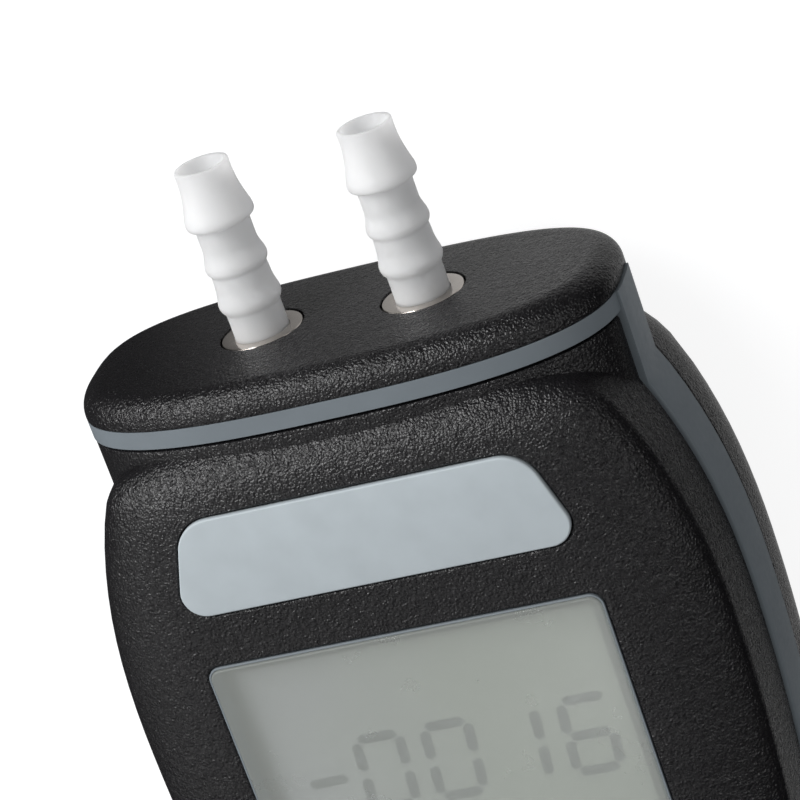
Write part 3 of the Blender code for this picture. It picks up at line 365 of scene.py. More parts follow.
@dataclass(frozen=True)
class GrainedPlastic(Finish):
    """Moulded plastic with a pebble grain."""

    grain: float = 0.26 * MM
    depth: float = 0.20 * MM
    gloss_patch: float = 1.3
    coarse_size: float = 3.5
    coarse_share: float = 0.6
    smooth: float = 0.21
    dull: float = 0.35
    cloud: float = 5 * MM
    spread: float = 0.10
    wear: Colour = (52, 52, 55)
    wear_share: float = 0.2
    shine: float = 0.5

    def dress(self, graph: Graph) -> None:
        """A dense eroded grain of uneven size over soft clouds of colour.

        Args:
            graph: The material's graph.
        """
        graph.tint(self.colour, self.spread, self.cloud, self.wear, self.wear_share)
        graph.rough(self.smooth, self.dull, self.grain * self.gloss_patch)
        pebbles = graph.noise(self.grain, detail=1.0)
        coarse = graph.noise(self.grain * self.coarse_size, detail=1.0)
        both = graph.sum("ADD", pebbles, graph.sum("MULTIPLY", coarse, self.coarse_share))
        graph.bump(both, self.depth)
        graph.fix(Specular_IOR_Level=self.shine)


@dataclass(frozen=True)
class SatinPlastic(Finish):
    """Moulded plastic with a fine even satin."""

    smooth: float = 0.42
    dull: float = 0.52
    grain: float = 0.16 * MM
    depth: float = 0.005 * MM
    patch: float = 0.7 * MM
    cloud: float = 4 * MM
    spread: float = 0.04
    wear: Optional[Colour] = None
    wear_share: float = 0.35
    shine: float = 0.5

    def dress(self, graph: Graph) -> None:
        """A very fine grain with faint clouds.

        Args:
            graph: The material's graph.
        """
        graph.tint(self.colour, self.spread, self.cloud, self.wear, self.wear_share)
        graph.rough(self.smooth, self.dull, self.patch)
        graph.bump(graph.noise(self.grain, detail=2.0), self.depth)
        graph.fix(Specular_IOR_Level=self.shine)


@dataclass(frozen=True)
class Nylon(Finish):
    """Milky nylon that lets light in a little way."""

    smooth: float = 0.36
    dull: float = 0.46
    patch: float = 1.2 * MM
    wave: float = 1.1 * MM
    depth: float = 0.012 * MM
    cloud: float = 3 * MM
    spread: float = 0.015
    light_reach: float = 5.0 * MM
    light_tint: Triple = (1.0, 0.98, 0.96)
    shine: float = 0.3
    index: float = 1.53

    def dress(self, graph: Graph) -> None:
        """Light that spreads under a soft, slightly wavy surface.

        Args:
            graph: The material's graph.
        """
        graph.tint(self.colour, self.spread, self.cloud)
        graph.rough(self.smooth, self.dull, self.patch)
        graph.bump(graph.noise(self.wave, detail=2.0), self.depth)
        graph.fix(Subsurface_Weight=1.0, Subsurface_Radius=self.light_tint,
                  Subsurface_Scale=self.light_reach, Specular_IOR_Level=self.shine, IOR=self.index)


@dataclass(frozen=True)
class TurnedMetal(Finish):
    """Metal with fine rings from the lathe about each port axis."""

    port_height: float = 15.5 * MM
    ring: float = 0.09 * MM
    depth: float = 0.006 * MM
    smooth: float = 0.10
    dull: float = 0.22
    cloud: float = 1.5 * MM
    spread: float = 0.05

    def dress(self, graph: Graph) -> None:
        """Rings round the nearer port axis, read from the piece's own place.

        Args:
            graph: The material's graph.
        """
        graph.tint(self.colour, self.spread, self.cloud)
        x, _, z = graph.axes()
        across = graph.sum("SUBTRACT", graph.sum("ABSOLUTE", x), PORT_PITCH / 2)
        up = graph.sum("SUBTRACT", z, self.port_height)
        radius = graph.sum("SQRT", graph.sum("ADD", graph.sum("MULTIPLY", across, across),
                                             graph.sum("MULTIPLY", up, up)))
        rings = graph.node("ShaderNodeCombineXYZ")
        graph.feed(rings.inputs[0], radius)
        cut = graph.noise(self.ring, detail=2.0, vector=rings.outputs[0])
        graph.bump(cut, self.depth)
        graph.rough_by(cut, self.smooth, self.dull)
        graph.fix(Metallic=1.0)


@dataclass(frozen=True)
class PlainMetal(Finish):
    """Plated or drawn metal with faint scratches."""

    smooth: float = 0.28
    dull: float = 0.42
    streak: float = 0.2 * MM
    draw: Triple = (0.15, 1.0, 1.0)
    depth: float = 0.004 * MM
    cloud: float = 1.2 * MM
    spread: float = 0.08

    def dress(self, graph: Graph) -> None:
        """Streaks along X with patches of tarnish.

        Args:
            graph: The material's graph.
        """
        graph.tint(self.colour, self.spread, self.cloud)
        streaks = graph.noise(self.streak, vector=graph.stretched(self.draw))
        graph.bump(streaks, self.depth)
        graph.rough_by(streaks, self.smooth, self.dull)
        graph.fix(Metallic=1.0)


@dataclass(frozen=True)
class ClearMoulding(Finish):
    """Moulded acrylic with the soft haze of a glare-free face, partly painted light: the haze is
    tinted like the cell and lit at the face, so the shadow of the recess edge on the cell hardly
    shows.
    """

    smooth: float = 0.26
    dull: float = 0.34
    patch: float = 5 * MM
    etching: float = 0.14 * MM
    depth: float = 0.004 * MM
    etched_share: float = 0.5
    cloud: float = 8 * MM
    spread: float = 0.01
    clear_share: float = 0.3
    haze: float = 0.38
    index: float = 1.49

    def dress(self, graph: Graph) -> None:
        """A thin haze over what lies behind, tinted like the cell to paint light over the shadow on
        it, with a fine etched face.

        Args:
            graph: The material's graph.
        """
        graph.tint(self.colour, self.spread, self.cloud)
        graph.bump(graph.noise(self.etching, detail=1.0), self.depth, self.etched_share)
        graph.rough(self.smooth, self.dull, self.patch)
        graph.fix(Transmission_Weight=self.clear_share, IOR=self.index, Alpha=self.haze)


@dataclass(frozen=True)
class DisplayGround(Finish):
    """The reflective back of a liquid crystal cell under its filter."""

    sheen_tint: Colour = (172, 172, 182)
    sheen_full_until: float = -18 * MM
    sheen_gone_from: float = 11.55 * MM
    wander: float = 16 * MM
    speckle: float = 0.12 * MM
    speckle_range: tuple[float, float] = (0.35, 0.65)
    speckle_share: float = 0.12
    speckle_dark: float = 0.8
    smooth: float = 0.22
    dull: float = 0.3
    patch: float = 4 * MM
    grain: float = 0.15 * MM
    depth: float = 0.002 * MM
    shine: float = 0.3

    def dress(self, graph: Graph) -> None:
        """A painted sheen from lighter violet grey at the left to green grey, with fine speckle.

        Args:
            graph: The material's graph.
        """
        x = graph.axes()[0]
        drift = graph.sum("MULTIPLY", graph.noise(self.wander, detail=2.0), self.wander)
        shifted = graph.sum("ADD", x, drift)
        # painted sheen: the ground turns lighter violet grey towards the left, fading along a
        # wandering line
        share = graph.ranged(shifted, self.sheen_full_until, self.sheen_gone_from, 1.0, 0.0)
        ground = graph.blend(share, linear(self.colour), linear(self.sheen_tint))
        dust = graph.ranged(graph.noise(self.speckle, detail=1.0), *self.speckle_range, 0.0,
                            self.speckle_share)
        deep = tuple(c * self.speckle_dark for c in linear(self.colour)[:3])
        graph.feed(graph.shader.inputs["Base Color"], graph.blend(dust, ground, (*deep, 1.0)))
        graph.rough(self.smooth, self.dull, self.patch)
        graph.bump(graph.noise(self.grain, detail=1.0), self.depth)
        graph.fix(Specular_IOR_Level=self.shine)


@dataclass(frozen=True)
class SegmentInk(Finish):
    """The faint darkened crystal of a lit segment."""

    smooth: float = 0.25
    dull: float = 0.35
    patch: float = 2 * MM
    grain: float = 0.15 * MM
    depth: float = 0.002 * MM
    cloud: float = 3 * MM
    spread: float = 0.03

    def dress(self, graph: Graph) -> None:
        """An almost even grey with the cell's own fine grain.

        Args:
            graph: The material's graph.
        """
        graph.tint(self.colour, self.spread, self.cloud)
        graph.rough(self.smooth, self.dull, self.patch)
        graph.bump(graph.noise(self.grain, detail=1.0), self.depth)


@dataclass(frozen=True)
class SolderMask(Finish):
    """Green solder mask over fine copper tracks."""

    track: Colour = (58, 128, 84)
    track_share: float = 0.7
    track_range: tuple[float, float] = (0.10, 0.14)
    lane: float = 1.9 * MM
    crossing: float = 2.3 * MM
    draw: float = 0.12
    depth: float = 0.03 * MM
    smooth: float = 0.25
    dull: float = 0.4
    patch: float = 3 * MM
    cloud: float = 5 * MM
    spread: float = 0.10

    def dress(self, graph: Graph) -> None:
        """Tracks in two directions that lighten the mask where they run.

        Args:
            graph: The material's graph.
        """
        graph.tint(self.colour, self.spread, self.cloud)
        lanes = graph.cells(self.lane, graph.stretched((1.0, self.draw, 1.0)))
        cross = graph.cells(self.crossing, graph.stretched((self.draw, 1.0, 1.0)))
        both = graph.sum("MINIMUM", lanes, cross)
        tracks = graph.ranged(both, *self.track_range, 1.0, 0.0)
        share = graph.sum("MULTIPLY", tracks, self.track_share)
        last = graph.shader.inputs["Base Color"].links[0].from_socket
        graph.feed(graph.shader.inputs["Base Color"], graph.blend(share, last, linear(self.track)))
        graph.bump(tracks, self.depth)
        graph.rough(self.smooth, self.dull, self.patch)


@dataclass(frozen=True)
class Rubber(Finish):
    """Moulded rubber or silicone."""

    milky: float = 0.0
    light_reach: float = 1.5 * MM
    smooth: float = 0.5
    dull: float = 0.7
    patch: float = 0.8 * MM
    grain: float = 0.12 * MM
    depth: float = 0.006 * MM
    cloud: float = 2.5 * MM
    spread: float = 0.07

    def dress(self, graph: Graph) -> None:
        """A dull skin with dust-fine grain.

        Args:
            graph: The material's graph.
        """
        graph.tint(self.colour, self.spread, self.cloud)
        graph.rough(self.smooth, self.dull, self.patch)
        graph.bump(graph.noise(self.grain, detail=2.0), self.depth)
        if self.milky:
            graph.fix(Subsurface_Weight=self.milky, Subsurface_Scale=self.light_reach)


FINISHES: dict[str, Finish] = {
    f.slot: f for f in (
        GrainedPlastic("black_case", (24, 23, 25)),
        SatinPlastic("grey_trim", (112, 120, 126), wear=(150, 158, 164), shine=0.3),
        SatinPlastic("pale_plate", (180, 189, 194), smooth=0.5, dull=0.6, grain=0.10 * MM,
                     depth=0.004 * MM, wear=(205, 212, 216), shine=0.4),
        # the window's cell-coloured haze paints light over the recess edge's shadow on the cell
        ClearMoulding("clear_window", (204, 209, 204)),
        DisplayGround("display_cell", (161, 167, 157)),
        Nylon("white_nylon", (243, 243, 244)),
        TurnedMetal("nickel", (210, 203, 196)),
        PlainMetal("steel_screw", (168, 168, 170)),
        SatinPlastic("key_grey", (70, 73, 77), smooth=0.5, dull=0.62, grain=0.22 * MM,
                     depth=0.008 * MM, wear=(98, 101, 106)),
        Rubber("mat_rubber", (96, 98, 100)),
        Rubber("seal_rubber", (24, 24, 24)),
        Rubber("tube_silicone", (214, 214, 208), milky=0.5),
        SolderMask("board_green", (26, 84, 56)),
        SatinPlastic("chip_black", (28, 28, 30), smooth=0.45, dull=0.6, grain=0.08 * MM,
                     depth=0.006 * MM),
        SatinPlastic("sensor_white", (214, 212, 204), smooth=0.45, dull=0.55),
        SatinPlastic("holder_plastic", (226, 226, 222), smooth=0.45, dull=0.55),
        PlainMetal("battery_jacket", (58, 62, 70), smooth=0.3, dull=0.45),
    )
}
INK = SegmentInk("segment_ink", (134, 138, 146))


# Meshes


def closed_mesh(name: str, points: Sequence[Vector], faces: Iterable[Sequence[int]]
                ) -> bpy.types.Object:
    """Make an object from points and faces, faces out and softly shaded.

    Args:
        name: The piece's name.
        points: Its corners.
        faces: Its faces, as lists of corner numbers.

    Returns:
        The new object.
    """
    mesh = bpy.data.meshes.new(name)
    mesh.from_pydata([tuple(p) for p in points], [], [tuple(f) for f in faces])
    made = bpy.data.objects.new(name, mesh)
    bpy.context.scene.collection.objects.link(made)
    tidy(made)
    return made


def tidy(piece: bpy.types.Object, sharp: float = SHARP) -> None:
    """Merge doubles, turn the faces outwards and shade the mesh.

    Args:
        piece: The object.
        sharp: Angle in degrees above which an edge stays sharp.
    """
    work = bmesh.new()
    work.from_mesh(piece.data)
    bmesh.ops.remove_doubles(work, verts=work.verts, dist=WELD)
    bmesh.ops.recalc_face_normals(work, faces=work.faces)
    work.to_mesh(piece.data)
    work.free()
    piece.data.shade_smooth()
    piece.data.set_sharp_from_angle(angle=math.radians(sharp))


def settle(piece: bpy.types.Object) -> bpy.types.Object:
    """Replace an object's mesh by the shape that its modifiers give.

    Args:
        piece: The object.

    Returns:
        The object, without its modifiers.
    """
    graph = bpy.context.evaluated_depsgraph_get()
    mesh = bpy.data.meshes.new_from_object(piece.evaluated_get(graph))
    piece.modifiers.clear()
    piece.data = mesh
    return piece


def combine(piece: bpy.types.Object, tool: bpy.types.Object, operation: str) -> bpy.types.Object:
    """Join, cut or intersect a piece with a tool, which is used up.

    Args:
        piece: The piece that stays.
        tool: The tool, removed afterwards.
        operation: UNION, DIFFERENCE or INTERSECT.

    Returns:
        The piece.
    """
    modifier = piece.modifiers.new("combine", "BOOLEAN")
    modifier.operation = operation
    modifier.object = tool
    settle(piece)
    bpy.data.objects.remove(tool)
    return piece


def loft(name: str, rings: Sequence[Sequence[Vector]], looped: bool = False) -> bpy.types.Object:
    """Skin rings of equal count.

    Args:
        name: The piece's name.
        rings: The rings in order.
        looped: Whether the last ring joins the first, instead of flat ends.

    Returns:
        The closed object.
    """
    count = len(rings[0])
    points = [p for ring in rings for p in ring]
    faces: list[tuple[int, ...]] = []
    for i in range(len(rings) if looped else len(rings) - 1):
        low, high = i * count, (i + 1) % len(rings) * count
        for j in range(count):
            k = (j + 1) % count
            faces.append((low + j, low + k, high + k, high + j))
    if not looped:
        faces.append(tuple(range(count)))
        faces.append(tuple(range((len(rings) - 1) * count, len(rings) * count)))
    return closed_mesh(name, points, faces)


def rounded(corners: Sequence[Triple], steps: int = 8) -> list[Point]:
    """Ease the corners of an outline by arcs.

    Args:
        corners: Corners as (x, drop, radius).
        steps: Facets of each arc.

    Returns:
        The outline's points.
    """
    outline: list[Point] = []
    for i, (x, drop, radius) in enumerate(corners):
        here = Vector((x, drop))
        before = (Vector(corners[i - 1][:2]) - here).normalized()
        after = (Vector(corners[(i + 1) % len(corners)][:2]) - here).normalized()
        if radius <= 0:
            outline.append((x, drop))
            continue
        half = before.angle(after) / 2
        centre = here + (before + after).normalized() * (radius / math.sin(half))
        start = here + before * (radius / math.tan(half)) - centre
        sign = 1.0 if before.cross(after) < 0 else -1.0
        for k in range(steps + 1):
            turn = Matrix.Rotation(sign * (math.pi - 2 * half) * k / steps, 2)
            point = centre + turn @ start
            outline.append((point.x, point.y))
    return outline


def rounded_box(half: float, top: float, bottom: float, radius: float, centre: float = 0.0,
                steps: int = 8) -> list[Point]:
    """A rounded rectangle between two drops.

    Args:
        half: Half its width.
        top: Drop of its upper side.
        bottom: Drop of its lower side.
        radius: Corner radius.
        centre: Its middle across.
        steps: Facets of each corner.

    Returns:
        The outline's points.
    """
    return rounded([(centre - half, top, radius), (centre + half, top, radius),
                    (centre + half, bottom, radius), (centre - half, bottom, radius)], steps)


@dataclass(frozen=True)
class Datum:
    """Main levels of the meter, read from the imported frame."""

    cap_y: float
    port_z: float
    face_z: float

    @classmethod
    def read(cls) -> "Datum":
        """Read the levels from the nodes' boxes."""
        low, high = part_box("hose_barb_left")
        return cls(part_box("port_cap")[1].y, (low.z + high.z) / 2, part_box("front_shell")[1].z)

    def point(self, x: float, drop: float, level: float) -> Vector:
        """A point at a drop below the cap's top and a level above the floor."""
        return Vector((x, self.cap_y - drop, level))

    def drop(self, y: float) -> float:
        """The drop below the cap's top of a place along Y."""
        return self.cap_y - y

    def slab(self, name: str, outline: Sequence[Point], low: float, high: float
             ) -> bpy.types.Object:
        """An outline extruded between two levels."""
        return loft(name, [[self.point(x, d, z) for x, d in outline] for z in (low, high)])


def dress(piece: bpy.types.Object, slot: str, body: str, *nodes: str) -> bpy.types.Object:
    """Finish a piece and tie it to the frame.

    Args:
        piece: The finished object.
        slot: The record's slot that it takes its finish from.
        body: The body that it rides on.
        *nodes: The nodes that it stands for.

    Returns:
        The piece.
    """
    piece.data.materials.clear()
    piece.data.materials.append(FINISHES[slot].material())
    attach(piece, body)
    if nodes:
        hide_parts(*nodes)
    LOG.info("%s: %d faces", piece.name, len(piece.data.polygons))
    return piece


def shade(piece: bpy.types.Object, sharp: float) -> None:
    """Shade a moulding so that its flat faces stay flat.

    Args:
        piece: The moulding.
        sharp: Angle in degrees above which an edge stays sharp.
    """
    tidy(piece, sharp)
    weighted = piece.modifiers.new("weight", "WEIGHTED_NORMAL")
    weighted.keep_sharp = True
    settle(piece)


def quarter(steps: int) -> list[float]:
    """Angles from nought to a right angle in equal steps."""
    return [math.pi / 2 * k / steps for k in range(steps + 1)]


def eased_plate(datum: Datum, name: str, outline: Callable[[float], list[Point]], low: float,
                high: float, radius: float, steps: int = 5) -> bpy.types.Object:
    """A flat plate with a rounded front edge and a slight ease behind.

    Args:
        datum: Main levels.
        name: The piece's name.
        outline: Gives the outline grown by an amount.
        low: Level of its back.
        high: Level of its front.
        radius: Radius of the front edge.
        steps: Facets of the rounding.

    Returns:
        The plate.
    """
    back = radius * 0.4
    marks = [(-back, low), (0.0, low + back)]
    for angle in quarter(steps):
        marks.append((-radius * (1 - math.cos(angle)), high - radius * (1 - math.sin(angle))))
    plate = loft(name, [[datum.point(x, d, level) for x, d in outline(grow)]
                        for grow, level in marks])
    plate.data.set_sharp_from_angle(angle=math.radians(SHARP_PLATE))
    return plate


# Geometry Nodes


class NodeRule:
    """A Geometry Nodes tree built in code and applied once to a piece."""

    def __init__(self, name: str) -> None:
        """Start the tree.

        Args:
            name: The tree's name.
        """
        self.tree = bpy.data.node_groups.new(name, "GeometryNodeTree")
        self.tree.interface.new_socket("Shape", in_out="INPUT", socket_type="NodeSocketGeometry")
        self.tree.interface.new_socket("Shape", in_out="OUTPUT", socket_type="NodeSocketGeometry")
        self.keys: dict[str, str] = {}
        self.values: dict[str, object] = {}
        self.source = self.tree.nodes.new("NodeGroupInput")
        self.result = self.tree.nodes.new("NodeGroupOutput")

    def laid(self, shape: bpy.types.NodeSocket, at: object, turn: object = (0.0, 0.0, 0.0)
             ) -> bpy.types.NodeSocket:
        """Turn a shape and move it.

        Args:
            shape: The shape.
            at: Where it goes, as an output or a value.
            turn: Its turn about the three axes.

        Returns:
            The placed shape.
        """
        return self.node("GeometryNodeTransform",
                         {"Geometry": shape, "Translation": at, "Rotation": turn}).outputs[0]

    def sum(self, operation: str, first: object, second: object) -> bpy.types.NodeSocket:
        """Join two numbers by an operation.

        Args:
            operation: The Math node's operation.
            first: First number or output.
            second: Second number or output.

        Returns:
            The result's output.
        """
        return self.node("ShaderNodeMath", {0: first, 1: second}, operation=operation).outputs[0]

    def size(self, name: str, kind: str, value: object) -> bpy.types.NodeSocket:
        """Add a named input with its value.

        Args:
            name: The input's name.
            kind: Float, Int, Vector, Rotation or Material.
            value: What this piece sets it to.

        Returns:
            The input's output socket inside the tree.
        """
        made = self.tree.interface.new_socket(name, in_out="INPUT", socket_type="NodeSocket" + kind)
        self.keys[name] = made.identifier
        self.values[name] = value
        return self.source.outputs[name]

    def node(self, kind: str, links: dict[object, object], **settings: object) -> bpy.types.Node:
        """Add a node.

        Args:
            kind: The node's type name.
            links: Inputs by name or number, each an output, a list of outputs or a value.
            **settings: Properties to set on it.

        Returns:
            The new node.
        """
        made = self.tree.nodes.new(kind)
        for key, value in settings.items():
            setattr(made, key, value)
        for key, value in links.items():
            if isinstance(value, list):
                for one in value:
                    self.tree.links.new(one, made.inputs[key])
            elif isinstance(value, bpy.types.NodeSocket):
                self.tree.links.new(value, made.inputs[key])
            else:
                made.inputs[key].default_value = value
        return made

    def close(self, shape: bpy.types.NodeSocket, slot: str) -> None:
        """End the tree in real meshes with their material.

        Args:
            shape: The last shape.
            slot: The finish's slot.
        """
        paint = self.size("Material", "Material", FINISHES[slot].material())
        real = self.node("GeometryNodeRealizeInstances", {0: shape})
        final = self.node("GeometryNodeSetMaterial",
                          {"Geometry": real.outputs[0], "Material": paint})
        self.tree.links.new(final.outputs[0], self.result.inputs[0])

    def apply(self, piece: bpy.types.Object, sharp: float = SHARP) -> bpy.types.Object:
        """Run the tree on a piece and keep the plain mesh.

        Args:
            piece: The object whose mesh feeds the tree.
            sharp: Angle in degrees above which an edge stays sharp.

        Returns:
            The piece with its new mesh.
        """
        modifier = piece.modifiers.new("rule", "NODES")
        modifier.node_group = self.tree
        for name, key in self.keys.items():
            modifier[key] = self.values[name]
        settle(piece)
        tidy(piece, sharp)
        return piece


def blank(name: str, points: Sequence[Sequence[float]], edges: Sequence[tuple[int, int]] = ()
          ) -> bpy.types.Object:
    """An object of bare points and edges, to feed a tree.

    Args:
        name: The piece's name.
        points: Its points.
        edges: Its edges.

    Returns:
        The new object.
    """
    mesh = bpy.data.meshes.new(name)
    mesh.from_pydata([tuple(p) for p in points], list(edges), [])
    made = bpy.data.objects.new(name, mesh)
    bpy.context.scene.collection.objects.link(made)
    return made


def turned(name: str, profile: Sequence[Point], seat: Vector, slot: str, steps: int
           ) -> bpy.types.Object:
    """Turn a closed profile about an axis along +Y by a Geometry Nodes tree.

    Args:
        name: The piece's name.
        profile: Points as (radius, rise).
        seat: The axis point at rise 0.
        slot: The finish's slot.
        steps: Facets round the axis.

    Returns:
        The turned piece.
    """
    path_radius = 4 * MM
    rule = NodeRule("turn_" + name)
    mean = rule.size("Mean Radius", "Float", path_radius)
    count = rule.size("Steps", "Int", steps)
    at = rule.size("Seat", "Vector", tuple(seat))
    path = rule.node("GeometryNodeCurvePrimitiveCircle", {"Radius": mean, "Resolution": count})
    line = rule.node("GeometryNodeMeshToCurve", {0: rule.source.outputs["Shape"]})
    wall = rule.node("GeometryNodeCurveToMesh",
                     {"Curve": path.outputs[0], "Profile Curve": line.outputs[0]})
    rule.close(rule.laid(wall.outputs[0], at, (-math.pi / 2, 0.0, 0.0)), slot)
    points = [(radius - path_radius, -rise, 0.0) for radius, rise in profile]
    edges = [(k, (k + 1) % len(points)) for k in range(len(points))]
    return rule.apply(blank(name, points, edges), SHARP_TURNED)


# The case


@dataclass(frozen=True)
class CaseForm:
    """The case's plan and roundings, shared by its shells and trim.

    A rounding is how far the sides draw in, how far the ends draw in, and its rise. A mark is
    how far a ring is drawn in and its distance from the edge. Both are in millimetres.
    """

    datum: Datum
    length: float = 148.0 * MM
    top_drop: float = 5.9 * MM
    shoulder_drop: float = 13.0 * MM
    display_drop: float = 41.4 * MM
    grip_drop: float = 106.0 * MM
    shoulder_half: float = 29.5 * MM
    display_half: float = 34.1 * MM
    grip_half: float = 30.2 * MM
    bulge_power: float = 2.5
    top_corner: float = 6.5 * MM
    corner_growth: float = 0.4
    top_power: float = 4.0
    bottom_corner: float = 15.0 * MM
    bottom_power: float = 2.6
    lean: float = 0.075
    head_half: float = 29.6 * MM
    head_front: float = 15.1 * MM
    head_back: float = 14.2 * MM
    front_power: float = 2.7
    back_power: float = 3.0
    neck_inset: float = 0.1 * MM
    neck_top: float = 5.55 * MM
    neck_length: float = 16.0 * MM
    trim_width: float = 7.0 * MM
    trim_proud: float = 0.3 * MM
    wall: float = 2.0 * MM
    front_round: Triple = (11.0, 6.4, 5.0)
    back_round: Triple = (8.0, 7.0, 9.3)
    edge_marks: tuple[Point, ...] = ((0.35, 0.0), (0.10, 0.08), (0.0, 0.30))
    neck_marks: tuple[Point, ...] = ((0.35, 0.0), (0.1, 0.1), (0.0, 0.35), (0.0, 10.4))
    neck_ease: float = 0.25 * MM
    hollow_back: Triple = (6.0, 4.5, 5.3)
    hollow_face: Triple = (9.0, 2.6, 5.0)
    back_wall: float = 2.2 * MM
    face_wall: float = 2.5 * MM
    corner_steps: int = 14
    side_steps: int = 44
    oval_points: int = 180

    @property
    def part_front(self) -> float:
        """Level where the trim meets the front shell."""
        return self.datum.port_z + self.trim_width / 2

    @property
    def part_back(self) -> float:
        """Level where the trim meets the rear shell."""
        return self.datum.port_z - self.trim_width / 2

    def half_width(self, drop: float) -> float:
        """Half the body's width at the port axes' height.

        Args:
            drop: Distance below the cap's top.

        Returns:
            Half the width.
        """
        if drop < self.display_drop:
            share = (self.display_drop - drop) / (self.display_drop - self.shoulder_drop)
            gain = self.display_half - self.shoulder_half
            return self.display_half - gain * share ** self.bulge_power
        share = min((drop - self.display_drop) / (self.grip_drop - self.display_drop), 1.0)
        gain = self.display_half - self.grip_half
        return self.grip_half + gain * (1 + math.cos(math.pi * share)) / 2

    def stations(self, end_inset: float, level: float) -> list[Point]:
        """Pairs of (share of the half width, drop) down one side.

        Args:
            end_inset: How far both ends are drawn in.
            level: Height above the floor; the top corners widen towards the back.

        Returns:
            The pairs from the top's middle to the bottom's middle.
        """
        top, bottom = self.top_drop + end_inset, self.length - end_inset
        round_off = self.top_corner + self.corner_growth * max(self.part_front - level, 0.0)
        pairs = []
        for angle in quarter(self.corner_steps):
            share = math.sin(angle) ** (2 / self.top_power)
            reach = math.cos(angle) ** (2 / self.top_power)
            pairs.append((share, top + round_off * (1 - reach)))
        start = top + round_off
        run = bottom - self.bottom_corner - start
        pairs += [(1.0, start + run * k / self.side_steps) for k in range(1, self.side_steps)]
        for angle in reversed(quarter(self.corner_steps)):
            share = math.sin(angle) ** (2 / self.bottom_power)
            reach = math.cos(angle) ** (2 / self.bottom_power)
            pairs.append((share, bottom - self.bottom_corner * (1 - reach)))
        return pairs

    def ring(self, level: float, side_inset: float, end_inset: float) -> list[Vector]:
        """Points round the body at one level.

        Args:
            level: Height above the floor.
            side_inset: How far the sides are drawn in.
            end_inset: How far the ends are drawn in.

        Returns:
            The ring's points.
        """
        lean = self.lean * (level - self.datum.port_z)
        right = []
        for share, drop in self.stations(end_inset, level):
            right.append((share * (self.half_width(drop) - side_inset - lean), drop))
        left = [(-x, drop) for x, drop in right[-2:0:-1]]
        return [self.datum.point(x, drop, level) for x, drop in right + left]

    def edge(self, half: Half) -> float:
        """Level where a half ends, just clear of the trim."""
        return (self.part_front + GAP) if half is Half.FRONT else (self.part_back - GAP)

    def half_body(self, half: Half) -> bpy.types.Object:
        """One half of the body, with an eased edge where it meets the trim.

        Args:
            half: Front or rear.

        Returns:
            The solid half.
        """
        front = half is Half.FRONT
        sign = 1.0 if front else -1.0
        limit = self.datum.face_z if front else 0.0
        side, end, rise = self.front_round if front else self.back_round
        rings = []
        for inset, step in self.edge_marks:
            rings.append(self.ring(self.edge(half) + sign * step * MM, inset * MM, inset * MM))
        for angle in quarter(self.corner_steps):
            draw = 1 - math.cos(angle)
            level = limit - sign * rise * MM * (1 - math.sin(angle))
            rings.append(self.ring(level, side * draw * MM, end * draw * MM))
        return loft(half.value + "_shell_fine", rings)

    def oval(self, inset: float, drop: float) -> list[Vector]:
        """Points round the head's oval at one drop.

        Args:
            inset: How far the oval is drawn in.
            drop: Distance below the cap's top.

        Returns:
            The ring's points.
        """
        points = []
        for k in range(self.oval_points):
            angle = 2 * math.pi * (k + 0.5) / self.oval_points
            across, out = math.cos(angle), math.sin(angle)
            power = 2 / (self.front_power if out >= 0 else self.back_power)
            depth = (self.head_front if out >= 0 else self.head_back) - inset
            x = (self.head_half - inset) * math.copysign(abs(across) ** power, across)
            z = depth * math.copysign(abs(out) ** power, out)
            points.append(self.datum.point(x, drop, self.datum.port_z + z))
        return points

    def oval_block(self, name: str, inset: float, top: float, bottom: float, ease: float = 0.0
                   ) -> bpy.types.Object:
        """The head's oval between two drops, its two edges eased.

        Args:
            name: The block's name.
            inset: How far the oval is drawn in.
            top: Upper drop.
            bottom: Lower drop.
            ease: Radius of its edges.

        Returns:
            The block.
        """
        rings = [(inset, top), (inset, bottom)]
        if ease:
            part = ease * 0.3
            rings = [(inset + ease, top), (inset + part, top + part), (inset, top + ease),
                     (inset, bottom - ease), (inset + part, bottom - part),
                     (inset + ease, bottom)]
        return loft(name, [self.oval(i, d) for i, d in rings])

    def neck(self, half: Half) -> bpy.types.Object:
        """One half of the neck between the band and the body.

        Args:
            half: Front or rear.

        Returns:
            The solid half of the neck.
        """
        edge = self.edge(half)
        sign = 1.0 if half is Half.FRONT else -1.0
        rings = []
        for inset, drop in self.neck_marks:
            points = self.oval(self.neck_inset + inset * MM, self.neck_top + drop * MM)
            kept = sorted((p for p in points if sign * (p.z - edge) > 0), key=lambda p: p.x)
            first, last = kept[0].copy(), kept[-1].copy()
            first.z = last.z = edge + sign * self.neck_ease
            low_first, low_last = first.copy(), last.copy()
            low_first.x += self.neck_ease
            low_last.x -= self.neck_ease
            low_first.z = low_last.z = edge
            rings.append([low_first, first] + kept[1:-1] + [last, low_last])
        return loft("neck", rings)

    def hollow(self) -> bpy.types.Object:
        """The space inside both shells.

        Returns:
            The cutter.
        """
        rings = []
        angles = quarter(self.corner_steps)[::3]
        face = self.datum.face_z - self.face_wall
        for limit, sign, form, turns in ((self.back_wall, -1.0, self.hollow_back, angles[::-1]),
                                         (face, 1.0, self.hollow_face, angles)):
            side, end, rise = form
            for angle in turns:
                draw = 1 - math.cos(angle)
                level = limit - sign * rise * MM * (1 - math.sin(angle))
                rings.append(self.ring(level, self.wall + side * draw * MM,
                                       self.wall + end * draw * MM))
        return loft("hollow", rings)

    def inside(self) -> bpy.types.Object:
        """The space inside the body and the neck.

        Returns:
            The cutter.
        """
        neck = self.oval_block("neck_hollow", self.neck_inset + self.wall, 0.0,
                               self.neck_length + self.wall)
        return combine(self.hollow(), neck, "UNION")


